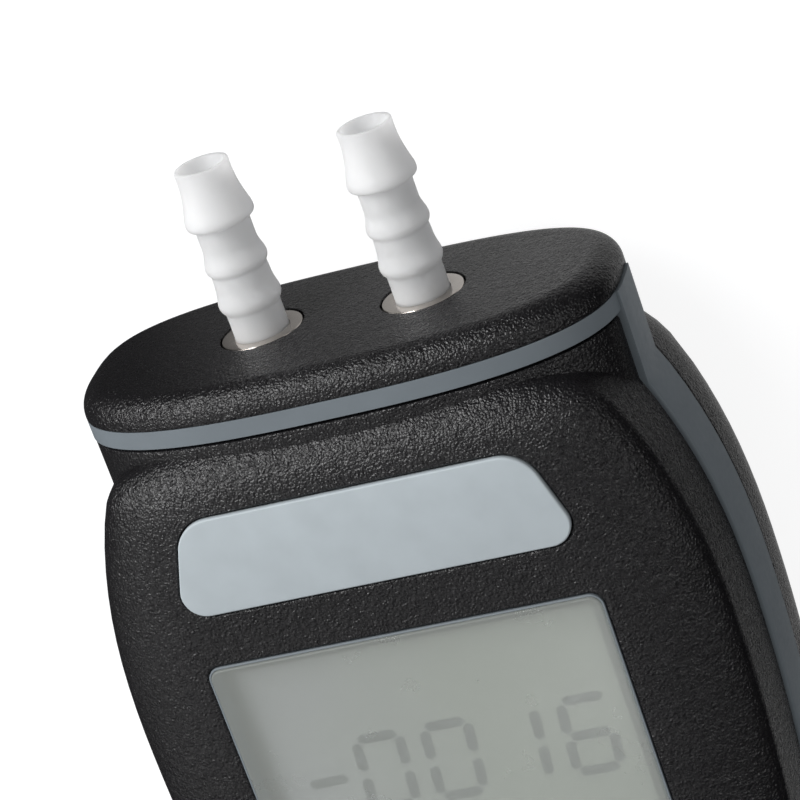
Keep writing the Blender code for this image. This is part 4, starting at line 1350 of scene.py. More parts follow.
@dataclass(frozen=True)
class Face:
    """What is let into the front: plate, window, cell and their recesses."""

    form: CaseForm
    label_top: float = 12.45 * MM
    label_bottom: float = 23.0 * MM
    label_half_top: float = 18.6 * MM
    label_half_bottom: float = 22.0 * MM
    label_top_corner: float = 4.0 * MM
    label_bottom_corner: float = 2.4 * MM
    label_thickness: float = 1.0 * MM
    window_half: float = 21.5 * MM
    window_top: float = 29.5 * MM
    window_bottom: float = 63.5 * MM
    window_corner: float = 1.2 * MM
    window_corner_least: float = 0.2 * MM
    window_thickness: float = 1.6 * MM
    window_round: float = 0.25 * MM
    label_round: float = 0.22 * MM
    proud: float = 0.3 * MM
    ledge: float = 1.5 * MM
    snug: float = 0.14 * MM
    film: float = 0.03 * MM
    film_inner: float = 0.04 * MM
    film_outer: float = 0.24 * MM
    film_back: float = 0.10 * MM
    film_reach: float = 0.62 * MM
    cell_corner: float = 0.4 * MM
    cell_round: float = 0.12 * MM

    def label_outline(self, grow: float = 0.0) -> list[Point]:
        """The plate's outline, wider towards the display.

        Args:
            grow: How far it is grown on all sides.

        Returns:
            The outline's points.
        """
        gain = self.label_half_bottom - self.label_half_top
        slope = gain / (self.label_bottom - self.label_top)
        half_top = self.label_half_top + grow * (1 - slope)
        half_bottom = self.label_half_bottom + grow * (1 + slope)
        top, bottom = self.label_top - grow, self.label_bottom + grow
        return rounded([(-half_top, top, self.label_top_corner + grow),
                        (half_top, top, self.label_top_corner + grow),
                        (half_bottom, bottom, self.label_bottom_corner + grow),
                        (-half_bottom, bottom, self.label_bottom_corner + grow)], 10)

    def window_outline(self, grow: float = 0.0) -> list[Point]:
        """The window's outline, grown by an amount."""
        corner = max(self.window_corner + grow, self.window_corner_least)
        return rounded_box(self.window_half + grow, self.window_top - grow,
                           self.window_bottom + grow, corner)

    def recess(self, name: str, outline: Callable[[float], list[Point]], floor: float,
               lip: float = 0.35 * MM) -> bpy.types.Object:
        """A cutter whose mouth flares, so that the cut edge comes out rounded.

        Args:
            name: The cutter's name.
            outline: Gives the outline grown by an amount.
            floor: Level of its floor.
            lip: Radius of the rounded edge.

        Returns:
            The cutter.
        """
        datum = self.form.datum
        marks = [(0.0, floor)]
        for angle in quarter(4):
            marks.append((lip * (1 - math.cos(angle)), datum.face_z - lip * (1 - math.sin(angle))))
        marks.append((lip * 1.05, datum.face_z + MM))
        return loft(name, [[datum.point(x, d, level) for x, d in outline(grow)]
                           for grow, level in marks])

    def open(self, shell: bpy.types.Object) -> None:
        """Cut the plate's and the window's places into the front shell.

        Args:
            shell: The front shell.
        """
        face = self.form.datum.face_z
        for name, outline, thickness in (
                ("label_recess", self.label_outline, self.label_thickness),
                ("window_recess", self.window_outline, self.window_thickness)):
            place = self.recess(name, lambda g, form=outline: form(g + GAP),
                                face + self.proud - thickness - GAP)
            combine(shell, place, "DIFFERENCE")
        aperture = self.form.datum.slab("aperture", self.window_outline(-self.ledge),
                                        face - CUT_DEPTH, face + MM)
        combine(shell, aperture, "DIFFERENCE")

    def build(self) -> None:
        """Make the plate, the window and the cell with its reading."""
        datum = self.form.datum
        top = datum.face_z + self.proud
        plate = eased_plate(datum, "label_plate_fine", lambda g: self.label_outline(g + self.snug),
                            top - self.label_thickness, top, self.label_round)
        dress(plate, "pale_plate", "case", "label_plate")
        window = eased_plate(datum, "window_fine", self.window_outline,
                             top - self.window_thickness, top, self.window_round, 6)
        dress(window, "clear_window", "case", "window")
        self.film_and_edge_glint(top - self.window_thickness, top - self.window_round)
        self.cell()

    def film_and_edge_glint(self, back: float, rim: float) -> None:
        """The grey film round the window's sides and the edge of its back, partly painted highlight:
        its rim shows in the gap as a thin light line round the window's edge.

        Args:
            back: Level of the window's back.
            rim: Level of the film's upper edge, which shows as the painted light line.
        """
        datum = self.form.datum
        outer, inner, film = self.film_outer, self.film_inner, self.film
        foot, floor = back - self.film_back, back - film
        marks = ((outer - film, rim), (outer, rim - film), (outer, foot), (-self.film_reach, foot),
                 (-self.film_reach, floor), (inner, floor), (inner, rim - film),
                 (inner + film, rim))
        rings = [[datum.point(x, d, level) for x, d in self.window_outline(grow)]
                 for grow, level in marks]
        # the film's rim paints a thin highlight line round the window; the rest of the film hides
        # the gap and the cell's edge
        dress(loft("window_film_edge_glint", rings, True), "grey_trim", "case")

    def cell(self) -> None:
        """The liquid crystal cell with its reading."""
        datum = self.form.datum
        low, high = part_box("lcd_cell")

        def grown(grow: float) -> list[Point]:
            """The cell's outline grown by an amount."""
            return rounded_box(high.x + grow, datum.drop(high.y) - grow, datum.drop(low.y) + grow,
                               self.cell_corner, 0.0, 4)

        cell = eased_plate(datum, "lcd_cell_fine", grown, low.z, high.z, self.cell_round, 3)
        dress(cell, "display_cell", "case", "lcd_cell")
        Reading(datum, high.z).build()


@dataclass(frozen=True)
class Reading:
    """The seven-segment figures on the cell: a plain sample reading.

    A figure is its sign and its place across in millimetres.
    """

    datum: Datum
    level: float
    half_height: float = 4.28 * MM
    half_width: float = 2.4 * MM
    stroke: float = 1.1 * MM
    across: float = 4.3 * MM
    upright: float = 3.4 * MM
    middle_drop: float = 46.5 * MM
    slant: float = 0.075
    corner: float = 0.385 * MM
    film: float = 0.03 * MM
    lift: float = 0.02 * MM
    figures: tuple[tuple[str, float], ...] = (("-", -14.45), ("0", -7.85), ("0", -0.2),
                                              ("1", 7.15), ("6", 14.95))

    def lit(self) -> list[tuple[float, float, int]]:
        """Places of the dark segments as (x, drop, 1 where it stands upright).

        Returns:
            One entry for each lit segment.
        """
        table = {"0": "abcdef", "1": "bc", "6": "acdefg", "-": "g"}
        w, h = self.half_width, self.half_height
        spots = {"a": (0, -h, 0), "g": (0, 0, 0), "d": (0, h, 0), "b": (w, -h / 2, 1),
                 "c": (w, h / 2, 1), "f": (-w, -h / 2, 1), "e": (-w, h / 2, 1)}
        found = []
        for figure, centre in self.figures:
            for segment in table[figure]:
                x, drop, upright = spots[segment]
                found.append((centre * MM + x - drop * self.slant, self.middle_drop + drop, upright))
        return found

    def build(self) -> None:
        """Lay one segment shape at each lit place by a Geometry Nodes tree."""
        LOG.info("%d segments", len(self.lit()))
        rule = NodeRule("segments")
        long = rule.size("Segment Length", "Float", self.across)
        thick = rule.size("Segment Width", "Float", self.stroke)
        soft = rule.size("Corner", "Float", self.corner)
        depth = rule.size("Film", "Float", self.film)
        bar = rule.node("GeometryNodeCurvePrimitiveQuadrilateral", {"Width": long, "Height": thick})
        eased = rule.node("GeometryNodeFilletCurve", {"Curve": bar.outputs[0], "Radius": soft})
        flat = rule.node("GeometryNodeFillCurve", {"Curve": eased.outputs[0]})
        raised = rule.node("GeometryNodeExtrudeMesh",
                           {"Mesh": flat.outputs[0], "Offset Scale": depth})
        under = rule.node("GeometryNodeFlipFaces", {"Mesh": flat.outputs[0]})
        solid = rule.node("GeometryNodeJoinGeometry",
                          {0: [raised.outputs["Mesh"], under.outputs[0]]})
        turn, reach = (rule.node("GeometryNodeInputNamedAttribute", {"Name": word},
                                 data_type="FLOAT_VECTOR") for word in ("turn", "reach"))
        laid = rule.node("GeometryNodeInstanceOnPoints",
                         {"Points": rule.source.outputs["Shape"], "Instance": solid.outputs[0],
                          "Rotation": turn.outputs[0], "Scale": reach.outputs[0]})
        rule.close(laid.outputs[0], "display_cell")
        places = self.lit()
        base = blank("lcd_segments", [self.datum.point(x, d, self.level + self.lift)
                                      for x, d, _ in places])
        for word in ("turn", "reach"):
            base.data.attributes.new(word, "FLOAT_VECTOR", "POINT")
        turns, reaches = (base.data.attributes[word].data for word in ("turn", "reach"))
        upright = math.pi / 2 - math.atan(self.slant)
        for k, (_, _, up) in enumerate(places):
            turns[k].vector = (0.0, 0.0, upright if up else 0.0)
            reaches[k].vector = (self.upright / self.across if up else 1.0, 1.0, 1.0)
        figures = rule.apply(base)
        dress(figures, "display_cell", "case")
        figures.data.materials.clear()
        figures.data.materials.append(INK.material())


@dataclass(frozen=True)
class Case:
    """Front shell, rear shell and the grey trim frame.

    Edge marks are as in CaseForm. A post's or well's mark is a radius and a height in millimetres.
    """

    form: CaseForm
    face: Face
    keys: tuple["Key", ...]
    sharp: float = 28.0
    key_gap: float = 0.35 * MM
    key_lip: float = 0.3 * MM
    cover_tongue: float = 2.2 * MM
    cover_depth: float = 2.2 * MM
    cover_corner: float = 3.3 * MM
    post: tuple[Point, ...] = ((4.0, 1.6), (4.0, 10.0))
    well: tuple[Point, ...] = ((2.9, -1.0), (2.9, 8.0), (1.7, 8.0), (1.7, 11.0))
    foot_edge: tuple[Point, ...] = ((0.45, 0.0), (0.13, 0.13), (0.0, 0.45))
    top_edge: tuple[Point, ...] = ((0.0, 0.40), (0.12, 0.12), (0.40, 0.0))
    band_top: float = 3.23 * MM
    band_foot: float = 5.25 * MM
    band_ease: float = 0.06 * MM

    def shell(self, half: Half) -> bpy.types.Object:
        """A half's body and neck, hollowed.

        Args:
            half: Front or rear.

        Returns:
            The shell without its openings.
        """
        shell = self.form.half_body(half)
        combine(shell, self.form.neck(half), "UNION")
        return combine(shell, self.form.inside(), "DIFFERENCE")

    def front(self) -> None:
        """The grained front half with its openings."""
        shell = self.shell(Half.FRONT)
        self.face.open(shell)
        for key in self.keys:
            hole = self.face.recess("key_opening", lambda g, k=key: k.outline(g + self.key_gap),
                                    self.form.datum.face_z - CUT_DEPTH, self.key_lip)
            combine(shell, hole, "DIFFERENCE")
        shade(shell, self.sharp)
        dress(shell, "black_case", "case", "front_shell")

    def rear(self) -> None:
        """The grained rear half with the cover's recess and a post and well for each screw."""
        datum = self.form.datum
        shell = self.shell(Half.REAR)
        low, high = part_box("battery_cover")
        recess = rounded_box(high.x + GAP, datum.drop(high.y) + self.cover_tongue - GAP,
                             datum.drop(low.y) + GAP, self.cover_corner)
        place = datum.slab("cover_recess", recess, -MM, self.cover_depth + GAP)
        combine(shell, place, "DIFFERENCE")
        for k in range(1, 5):
            low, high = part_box(f"case_screw_{k}")
            middle = (low + high) / 2
            combine(shell, self.stepped(middle, self.post), "UNION")
            combine(shell, self.stepped(middle, self.well), "DIFFERENCE")
        shade(shell, self.sharp)
        dress(shell, "black_case", "case", "rear_shell")

    def stepped(self, middle: Vector, marks: Sequence[Point], steps: int = 40
                ) -> bpy.types.Object:
        """A stepped round solid about a case screw's axis.

        Args:
            middle: The screw's middle.
            marks: Radius and height of each step in millimetres.
            steps: Facets round the axis.

        Returns:
            The solid.
        """
        turns = [2 * math.pi * k / steps for k in range(steps)]
        return loft("stepped", [[Vector((middle.x + radius * MM * math.cos(turn),
                                         middle.y + radius * MM * math.sin(turn), height * MM))
                                 for turn in turns] for radius, height in marks])

    def trim(self) -> None:
        """The grey frame: band round the head and a strip down both sides."""
        form = self.form
        low, high, proud = form.part_back, form.part_front, form.trim_proud
        rings = []
        for start, sign, marks in ((low, 1.0, self.foot_edge), (high, -1.0, self.top_edge)):
            for inset, step in marks:
                draw = inset * MM - proud
                rings.append(form.ring(start + sign * step * MM, draw, draw))
        strip = loft("trim_frame_fine", rings)
        sides = form.oval_block("sides", -proud, self.band_top, form.neck_length)
        around = rounded_box(0.1, -0.1, 0.3, 0.0)  # wider than the meter on all sides
        combine(sides, form.datum.slab("between", around, low, high), "INTERSECT")
        combine(strip, sides, "UNION")
        band = form.oval_block("band", 0.0, self.band_top, self.band_foot, self.band_ease)
        combine(strip, band, "UNION")
        combine(strip, form.inside(), "DIFFERENCE")
        shade(strip, self.sharp)
        dress(strip, "grey_trim", "case", "trim_frame")

    def build(self) -> None:
        """Make the three mouldings."""
        self.front()
        self.rear()
        self.trim()


@dataclass(frozen=True)
class Key:
    """One soft key that travels in its opening."""

    name: str
    x: float
    drop: float
    half: float
    along: float
    corner: float = 3.0 * MM
    flange: float = 1.05 * MM
    flange_ease: float = 0.1 * MM
    flange_depth: float = 2.8 * MM
    radius: float = 0.7 * MM
    round_steps: int = 6
    dish: float = 0.22 * MM
    dish_steep: float = 1.6

    def outline(self, grow: float = 0.0) -> list[Point]:
        """The key's outline, grown by an amount."""
        return rounded_box(self.half + grow, self.drop - self.along - grow,
                           self.drop + self.along + grow, self.corner + grow, self.x)

    def build(self, datum: Datum) -> None:
        """The key: flange, wall, rounded edge and a slight dish.

        Args:
            datum: Main levels.
        """
        low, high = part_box(self.name)
        top, ease = datum.face_z - self.flange_depth, self.flange_ease
        marks = [(self.flange - ease, low.z), (self.flange, low.z + ease),
                 (self.flange, top - ease), (self.flange - ease, top), (0.0, top)]
        for angle in quarter(self.round_steps):
            marks.append((-self.radius * (1 - math.cos(angle)),
                          high.z - self.radius * (1 - math.sin(angle))))
        rings = [[datum.point(x, d, level) for x, d in self.outline(grow)]
                 for grow, level in marks]
        centre = datum.point(self.x, self.drop, 0.0)
        for k in range(1, self.round_steps):
            share = k / self.round_steps
            slope = math.sin(math.pi / 2 * min(share * self.dish_steep, 1.0)) ** 2
            ring = [datum.point(x, d, 0.0).lerp(centre, share)
                    for x, d in self.outline(-self.radius)]
            for at in ring:
                at.z = high.z - self.dish * slope
            rings.append(ring)
        key = loft(self.name + "_fine", rings)
        dress(key, "key_grey", self.name + "_body", self.name)


KEYS = (
    Key("key_hold", x=-14.4 * MM, drop=79.0 * MM, half=5.8 * MM, along=4.3 * MM),
    Key("key_zero", x=0.0, drop=79.0 * MM, half=5.8 * MM, along=4.3 * MM),
    Key("key_units", x=14.4 * MM, drop=79.0 * MM, half=5.8 * MM, along=4.3 * MM),
    Key("key_power", x=0.0, drop=96.0 * MM, half=5.6 * MM, along=5.6 * MM),
)


# The head


@dataclass(frozen=True)
class Head:
    """The end cap with its two port seats.

    A foot mark is how far a ring is drawn in and its drop, in millimetres.
    """

    form: CaseForm
    fillet: float = 2.8 * MM
    fillet_steps: int = 12
    foot_marks: tuple[Point, ...] = ((0.0, 3.08), (0.04, 3.16), (0.12, 3.2))
    skirt_top: float = 2.2 * MM
    skirt_foot: float = 10.5 * MM
    skirt_wall: float = 1.8 * MM
    seat: float = 4.66 * MM
    seat_drop: float = 1.45 * MM
    seat_flare: float = 0.12 * MM
    hole: float = 3.17 * MM
    hole_drop: float = 5 * MM

    def cap(self) -> None:
        """The oval cap: a filleted top, an eased foot, a skirt and the seats."""
        form, datum = self.form, self.form.datum
        rings = []
        for angle in quarter(self.fillet_steps):
            inset = self.fillet * (1 - math.sin(angle))
            rings.append(form.oval(inset, self.fillet * (1 - math.cos(angle))))
        for inset, drop in self.foot_marks:
            rings.append(form.oval(inset * MM, drop * MM))
        cap = loft("port_cap_fine", rings)
        inset = form.neck_inset + form.wall + GAP
        skirt = form.oval_block("skirt", inset, self.skirt_top, self.skirt_foot)
        space = form.oval_block("skirt_hollow", inset + self.skirt_wall, self.skirt_top - MM,
                                self.skirt_foot + MM)
        combine(skirt, space, "DIFFERENCE")
        combine(cap, skirt, "UNION")
        for side in Side:
            seat = datum.point(side.value * PORT_PITCH / 2, 0.0, datum.port_z)
            cutter = turned("seat_cutter", self.seat_profile(), seat, "black_case", 96)
            combine(cap, cutter, "DIFFERENCE")
        shade(cap, SHARP_TURNED)
        dress(cap, "black_case", "case", "port_cap")

    def seat_profile(self) -> list[Point]:
        """Half the section of a port's seat, with an eased mouth.

        Returns:
            Points as (radius, rise above the cap's top).
        """
        return [(AXIS, MM), (self.seat + self.seat_flare, MM), (self.seat + 0.10 * MM, 0.0),
                (self.seat + 0.03 * MM, -0.03 * MM), (self.seat, -0.1 * MM),
                (self.seat, -self.seat_drop), (self.hole, -self.seat_drop),
                (self.hole, -self.hole_drop), (AXIS, -self.hole_drop)]


@dataclass(frozen=True)
class Port:
    """One hose port: barb, disc and seal.

    The marks down the barb's wall are a radius and a rise above the disc, in millimetres.
    """

    datum: Datum
    side: Side
    face_drop: float = 0.15 * MM
    reach: float = 19.3 * MM
    stem: float = 2.96 * MM
    tip: float = 2.95 * MM
    mouth: float = 2.5 * MM
    bore: float = 2.05 * MM
    shoulder: tuple[Point, ...] = (
        (2.95, 19.0), (2.94, 18.3), (2.97, 17.5), (3.09, 16.4), (3.33, 15.2), (3.57, 14.3),
        (3.68, 13.87), (3.72, 13.52), (3.69, 13.18), (3.58, 12.99), (3.42, 12.90))
    soft_rings: tuple[Point, ...] = (
        (3.06, 12.80), (2.97, 12.72), (2.95, 12.4), (2.95, 10.6), (2.96, 10.15), (3.03, 9.75),
        (3.16, 9.3), (3.30, 8.85), (3.38, 8.45), (3.39, 8.2), (3.33, 7.93), (3.22, 7.70),
        (3.10, 7.54), (3.03, 7.38), (3.02, 7.2), (3.05, 6.8), (3.08, 6.2), (3.11, 5.7),
        (3.18, 5.25), (3.30, 4.72), (3.40, 4.3), (3.42, 4.0), (3.38, 3.73), (3.27, 3.45),
        (3.12, 3.22), (3.02, 3.06), (2.98, 2.85), (2.96, 2.4), (2.96, 1.0))
    flange: float = 4.9 * MM
    flange_top: float = -4.55 * MM
    flange_foot: float = -5.75 * MM
    tail: float = 1.9 * MM
    tail_bore: float = 1.1 * MM
    tail_foot: float = -15.2 * MM
    disc: float = 4.54 * MM
    disc_gap: float = 0.04 * MM
    disc_foot: float = -1.0 * MM
    lift: float = 0.07 * MM

    @staticmethod
    def eased(marks: Sequence[Point], steps: int = 3) -> list[Point]:
        """A smooth run through marks on the barb's wall, by cubic curves.

        Args:
            marks: Radius and rise in millimetres, from the top down.
            steps: Points laid from each mark to the next.

        Returns:
            The run in metres, ends included.
        """
        run: list[Point] = []
        for k in range(len(marks) - 1):
            a, b, c, d = (marks[min(max(k + j, 0), len(marks) - 1)] for j in (-1, 0, 1, 2))
            for t in (i / steps for i in range(steps)):
                at = []
                for p, q, r, s in zip(a, b, c, d):
                    square, cube = 2 * p - 5 * q + 4 * r - s, 3 * q - p - 3 * r + s
                    at.append(MM * 0.5 * (2 * q + (r - p) * t + square * t * t + cube * t ** 3))
                run.append((at[0], at[1]))
        run.append((marks[-1][0] * MM, marks[-1][1] * MM))
        return run

    def wall(self) -> list[Point]:
        """The barb's wall as a closed loop of (radius, rise above the disc).

        Returns:
            The loop, from the bore's mouth down the outside and back up inside.
        """
        bore, mouth, tip, top = self.bore, self.mouth, self.tip, self.reach
        loop = [(bore, top - 1.5 * MM), (bore + 0.12 * MM, top - 1.0 * MM),
                (mouth - 0.08 * MM, top - 0.25 * MM), (mouth, top - 0.05 * MM),
                (mouth + 0.07 * MM, top), (tip - 0.18 * MM, top),
                (tip - 0.05 * MM, top - 0.05 * MM), (tip, top - 0.18 * MM)]
        loop += self.eased(self.shoulder) + self.eased(self.soft_rings)
        loop += [(self.stem, self.flange_top), (self.flange, self.flange_top),
                 (self.flange, self.flange_foot), (self.tail, self.flange_foot),
                 (self.tail, self.tail_foot), (self.tail_bore, self.tail_foot),
                 (self.tail_bore, self.flange_foot), (bore, self.flange_top)]
        return loop

    def disc_section(self) -> list[Point]:
        """The disc's section as a closed loop of (radius, rise).

        Returns:
            The loop, with eased edges in front.
        """
        inner, outer, face, foot = self.stem + self.disc_gap, self.disc, self.lift, self.disc_foot
        return [(inner, face - 0.12 * MM), (inner + 0.03 * MM, face - 0.02 * MM),
                (inner + 0.1 * MM, face), (outer - 0.17 * MM, face),
                (outer - 0.13 * MM, face - 0.01 * MM), (outer - 0.04 * MM, face - 0.1 * MM),
                (outer, face - 0.2 * MM), (outer, foot), (inner, foot)]

    def seal_section(self, low: Vector, high: Vector, seat: Vector, steps: int = 16
                     ) -> list[Point]:
        """The seal's round section as a closed loop of (radius, rise).

        Args:
            low: The seal's lowest corner.
            high: The seal's highest corner.
            seat: The axis point at rise 0.
            steps: Facets of the section.

        Returns:
            The loop.
        """
        middle = (low.y + high.y) / 2 - seat.y
        radius = (high.y - low.y) / 2
        centre = (high.x - low.x) / 2 - radius
        angles = [2 * math.pi * k / steps for k in range(steps)]
        return [(centre + radius * math.cos(angle), middle + radius * math.sin(angle))
                for angle in angles]

    def build(self) -> None:
        """Make the barb, the bright disc and the seal."""
        across = self.side.value * PORT_PITCH / 2
        seat = self.datum.point(across, self.face_drop, self.datum.port_z)
        word = self.side.word
        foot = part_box(f"hose_barb_{word}")[0].y - seat.y
        wall = [(radius, max(rise, foot)) for radius, rise in self.wall()]
        seal = self.seal_section(*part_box(f"port_seal_{word}"), seat)
        for name, profile, slot, steps in (
                ("hose_barb", wall, "white_nylon", 72),
                ("port_disc", self.disc_section(), "nickel", 96),
                ("port_seal", seal, "seal_rubber", 48)):
            piece = turned(f"{name}_{word}_fine", profile, seat, slot, steps)
            dress(piece, slot, "case", f"{name}_{word}")


# Fasteners


@dataclass(frozen=True)
class ScrewSet:
    """Equal cross-recess screws laid at their nodes' places."""

    name: str
    nodes: tuple[str, ...]
    along_y: bool = False
    head: float = 2.6 * MM
    head_height: float = 1.7 * MM
    shank: float = 1.1 * MM
    thread: float = 1.38 * MM
    thread_pitch: float = 1.05 * MM
    thread_start: float = 0.4 * MM
    thread_short: float = 0.8 * MM
    cross_length: float = 2.7 * MM
    cross_width: float = 0.62 * MM
    cross_height: float = 2.0 * MM
    cross_rise: float = 0.62 * MM
    facets: int = 24

    def places(self) -> tuple[list[Vector], float]:
        """Where the heads' undersides lie, and the shanks' length.

        Returns:
            The places and the length.
        """
        found, length = [], 0.0
        for node in self.nodes:
            low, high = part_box(node)
            middle = (low + high) / 2
            if self.along_y:
                found.append(Vector((middle.x, low.y + self.head_height, middle.z)))
                length = high.y - low.y - self.head_height
            else:
                found.append(Vector((middle.x, middle.y, low.z + self.head_height)))
                length = high.z - low.z - self.head_height
        return found, length

    def build(self) -> None:
        """Head, cross recess, shank and thread in one tree, laid at each place."""
        places, length = self.places()
        rule = NodeRule(self.name)
        head = rule.size("Head Radius", "Float", self.head)
        rise = rule.size("Head Height", "Float", self.head_height)
        shank = rule.size("Shank Radius", "Float", self.shank)
        reach = rule.size("Length", "Float", length)
        crest = rule.size("Thread Radius", "Float", self.thread)
        turns = rule.size("Thread Turns", "Float", length / self.thread_pitch)
        turn = rule.size("Turn", "Vector", (-math.pi / 2 if self.along_y else 0.0, 0.0, 0.0))
        ball = rule.node("GeometryNodeMeshUVSphere", {"Segments": 40, "Rings": 20, "Radius": 1.0})
        pan = rule.node("ShaderNodeCombineXYZ", {"X": head, "Y": head, "Z": rise})
        dome = rule.node("GeometryNodeTransform",
                         {"Geometry": ball.outputs[0], "Scale": pan.outputs[0]})
        block = 0.02  # wider than any head; takes the dome's upper half away
        cutters = [self.block(rule, (block, block, block), block / 2)]
        for x, y in ((self.cross_length, self.cross_width), (self.cross_width, self.cross_length)):
            cutters.append(self.block(rule, (x, y, self.cross_height),
                                      -self.cross_rise - self.head_height))
        shaped = rule.node("GeometryNodeMeshBoolean",
                           {"Mesh 1": dome.outputs[0], "Mesh 2": cutters}, operation="DIFFERENCE")
        rod = rule.node("GeometryNodeMeshCylinder",
                        {"Vertices": self.facets, "Radius": shank, "Depth": reach})
        lift = rule.node("ShaderNodeCombineXYZ", {"Z": rule.sum("MULTIPLY", reach, 0.5)})
        core = rule.laid(rod.outputs[0], lift.outputs[0])
        coil = rule.node("GeometryNodeCurveSpiral",
                         {"Resolution": self.facets, "Rotations": turns, "Start Radius": shank,
                          "End Radius": shank,
                          "Height": rule.sum("SUBTRACT", reach, self.thread_short)})
        ridge = rule.node("GeometryNodeCurvePrimitiveCircle",
                          {"Resolution": 4, "Radius": rule.sum("SUBTRACT", crest, shank)})
        thread = rule.node("GeometryNodeCurveToMesh",
                           {"Curve": coil.outputs[0], "Profile Curve": ridge.outputs[0],
                            "Fill Caps": True})
        raised = rule.laid(thread.outputs[0], (0.0, 0.0, self.thread_start))
        whole = rule.node("GeometryNodeJoinGeometry", {0: [shaped.outputs[0], core, raised]})
        laid = rule.node("GeometryNodeInstanceOnPoints",
                         {"Points": rule.source.outputs["Shape"], "Instance": whole.outputs[0],
                          "Rotation": turn})
        rule.close(laid.outputs[0], "steel_screw")
        screws = rule.apply(blank(self.name, places), SHARP_TURNED)
        dress(screws, "steel_screw", "case", *self.nodes)

    def block(self, rule: NodeRule, size: Sequence[float], level: float) -> bpy.types.NodeSocket:
        """A cutting block on the screw's axis.

        Args:
            rule: The screw's tree.
            size: The block's three sides.
            level: Its middle along the axis.

        Returns:
            The placed block.
        """
        cube = rule.node("GeometryNodeMeshCube", {"Size": size})
        return rule.laid(cube.outputs[0], (0.0, 0.0, level))


# Stage


@dataclass(frozen=True)
class Lamp:
    """A soft rectangular lamp that points at the meter's upper end."""

    name: str
    way: Triple
    size: Point
    watts: float
    aim: Triple = (0.0, 0.03, 0.02)
    distance: float = 0.75

    def build(self) -> None:
        """Hang the lamp in its direction from the aim."""
        data = bpy.data.lights.new(self.name, "AREA")
        data.shape = "RECTANGLE"
        data.size, data.size_y = self.size
        data.energy = self.watts
        lamp = bpy.data.objects.new(self.name, data)
        direction = Vector(self.way).normalized()
        lamp.rotation_mode = "QUATERNION"
        lamp.rotation_quaternion = direction.to_track_quat("Z", "Y")
        lamp.location = Vector(self.aim) + direction * self.distance
        bpy.context.scene.collection.objects.link(lamp)


LAMPS = (
    Lamp("key_softbox", way=(-0.53, 0.62, 0.52), size=(0.60, 0.35), watts=6.0),
    Lamp("right_fill", way=(0.72, 0.08, 0.69), size=(0.26, 0.42), watts=1.1),
    Lamp("top_fill", way=(-0.30, -0.40, 0.86), size=(0.50, 0.50), watts=0.6),
    Lamp("left_fill", way=(-0.80, -0.33, 0.48), size=(0.45, 0.40), watts=0.6),
)


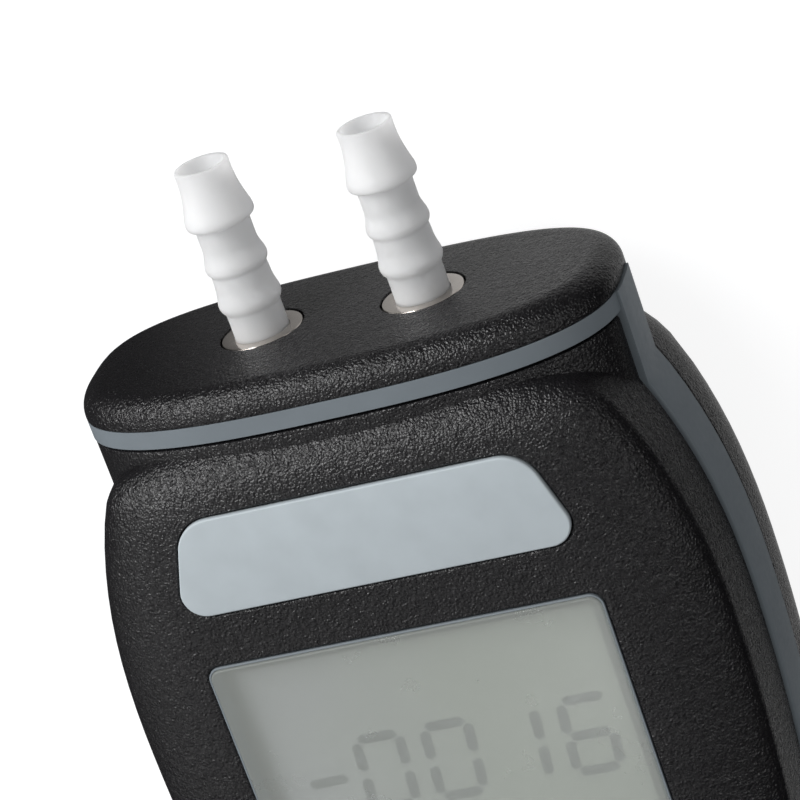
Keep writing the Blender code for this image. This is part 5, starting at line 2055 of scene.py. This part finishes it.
@dataclass(frozen=True)
class Studio:
    """Pale floor, soft lamps, white ground and the camera.

    Each field span is a place's start and end and the share of glow at either.
    """

    camera_at: Triple = (0.112327, 0.185600, 0.329209)
    right: Triple = (0.92957826, -0.31468177, -0.19198862)
    down: Triple = (-0.20490445, -0.87405057, 0.44051081)
    forward: Triple = (-0.30642849, -0.37014995, -0.8769781)
    lens: float = 153.974
    sensor: float = 36.0
    nearest: float = 0.01
    fill: float = 0.15
    sheen: float = 0.05
    floor_half: float = 1.5
    floor_drop: float = 0.05 * MM
    floor_plain: Colour = (150, 151, 153)
    floor_diffuse: Colour = (190, 190, 191)
    floor_glossy: Colour = (30, 30, 31)
    floor_glow: float = 0.86
    field_rise: tuple[float, ...] = (-0.030, 0.018, 0.03, 0.56)
    field_fade: tuple[float, ...] = (0.022, 0.034, 1.0, 0.85)
    field_end: tuple[float, ...] = (0.039, 0.042, 1.0, 0.0)
    field_top: tuple[float, ...] = (0.078, 0.095, 1.0, 0.0)

    def camera(self) -> None:
        """The camera at the photograph's angle."""
        data = bpy.data.cameras.new("camera")
        data.lens = self.lens
        data.sensor_width = self.sensor
        data.clip_start = self.nearest
        camera = bpy.data.objects.new("camera", data)
        up, back = ([-v for v in way] for way in (self.down, self.forward))
        turn = Matrix((self.right, up, back)).transposed()
        camera.matrix_world = Matrix.Translation(self.camera_at) @ turn.to_4x4()
        bpy.context.scene.collection.objects.link(camera)
        bpy.context.scene.camera = camera

    def floor(self) -> None:
        """A broad pale floor that shows white and keeps the shadow."""
        half = self.floor_half
        mesh = bpy.data.meshes.new("floor")
        mesh.from_pydata([(-half, -half, 0), (half, -half, 0), (half, half, 0), (-half, half, 0)],
                         [], [(0, 1, 2, 3)])
        floor = bpy.data.objects.new("floor", mesh)
        floor.location.z = -self.floor_drop
        bpy.context.scene.collection.objects.link(floor)
        mesh.materials.append(self.paper())

    def paper(self) -> bpy.types.Material:
        """The floor's paper: white to the camera; paler to diffuse rays, which adds painted bounce
        light on the meter; dark in gloss but for a field by the meter that glows only in
        reflections.

        Returns:
            The material.
        """
        graph = Graph("floor_paper")
        graph.fix(Roughness=0.9, Specular_IOR_Level=0.0, Emission_Color=WHITE)
        rays = graph.node("ShaderNodeLightPath").outputs
        # paler to diffuse rays: painted bounce light on the meter
        lit = graph.blend(rays["Is Diffuse Ray"], linear(self.floor_plain),
                          linear(self.floor_diffuse))
        graph.feed(graph.shader.inputs["Base Color"],
                   graph.blend(rays["Is Glossy Ray"], lit, linear(self.floor_glossy)))
        x, y, _ = graph.axes()
        field = rays["Is Glossy Ray"]
        for place, span in ((x, self.field_rise), (x, self.field_fade), (x, self.field_end),
                            (y, self.field_top)):
            field = graph.sum("MULTIPLY", field, graph.ranged(place, *span))
        seen = graph.sum("MAXIMUM", rays["Is Camera Ray"], rays["Is Transmission Ray"])
        glow = graph.sum("MULTIPLY", seen, self.floor_glow)
        graph.feed(graph.shader.inputs["Emission Strength"], graph.sum("ADD", glow, field))
        return graph.material

    def world(self) -> None:
        """Even pale surroundings, white where the camera looks past the floor."""
        world = bpy.data.worlds.new("surroundings")
        world.use_nodes = True
        tree = world.node_tree
        ground = tree.nodes["Background"]
        ground.inputs["Color"].default_value = WHITE
        rays = tree.nodes.new("ShaderNodeLightPath")
        total = None
        for ray, share in (("Is Camera Ray", 1.0), ("Is Transmission Ray", 1.0),
                           ("Is Diffuse Ray", self.fill), ("Is Glossy Ray", self.sheen)):
            part = tree.nodes.new("ShaderNodeMath")
            part.operation = "MULTIPLY_ADD"
            tree.links.new(rays.outputs[ray], part.inputs[0])
            part.inputs[1].default_value = share
            part.inputs[2].default_value = 0.0
            if total is not None:
                tree.links.new(total, part.inputs[2])
            total = part.outputs[0]
        tree.links.new(total, ground.inputs["Strength"])
        bpy.context.scene.world = world

    def build(self) -> None:
        """Set up the whole stage."""
        bpy.context.scene.view_settings.view_transform = "Standard"
        self.camera()
        self.floor()
        self.world()
        for lamp in LAMPS:
            lamp.build()


def carry_over(names: Iterable[str]) -> None:
    """Give nodes that keep their meshes a finish of their own.

    Args:
        names: The nodes.
    """
    slots = {s["node"]: s["material_slot"] for s in frame["record"]["subparts"]}
    for name in names:
        node = frame["nodes"][name]
        node.data.materials.clear()
        node.data.materials.append(FINISHES[slots[name]].material())
        LOG.info("%s keeps its mesh", name)


def main() -> None:
    """Build every sub-assembly in order, then the stage."""
    logging.basicConfig(level=logging.INFO, format="%(message)s")
    datum = Datum.read()
    form = CaseForm(datum)
    face = Face(form)
    Case(form, face, KEYS).build()
    face.build()
    Head(form).cap()
    for side in Side:
        Port(datum, side).build()
    for key in KEYS:
        key.build(datum)
    ScrewSet("case_screws", tuple(f"case_screw_{n}" for n in range(1, 5))).build()
    ScrewSet("board_screws", tuple(f"board_screw_{n}" for n in range(1, 5))).build()
    ScrewSet("clamp_screws", ("clamp_screw_left", "clamp_screw_right"), along_y=True).build()
    ScrewSet("cover_screw", ("battery_cover_screw",), head_height=1.0 * MM).build()
    carry_over(name for name, node in frame["nodes"].items() if not node.hide_render)
    Studio().build()


if __name__ == "__main__":
    main()
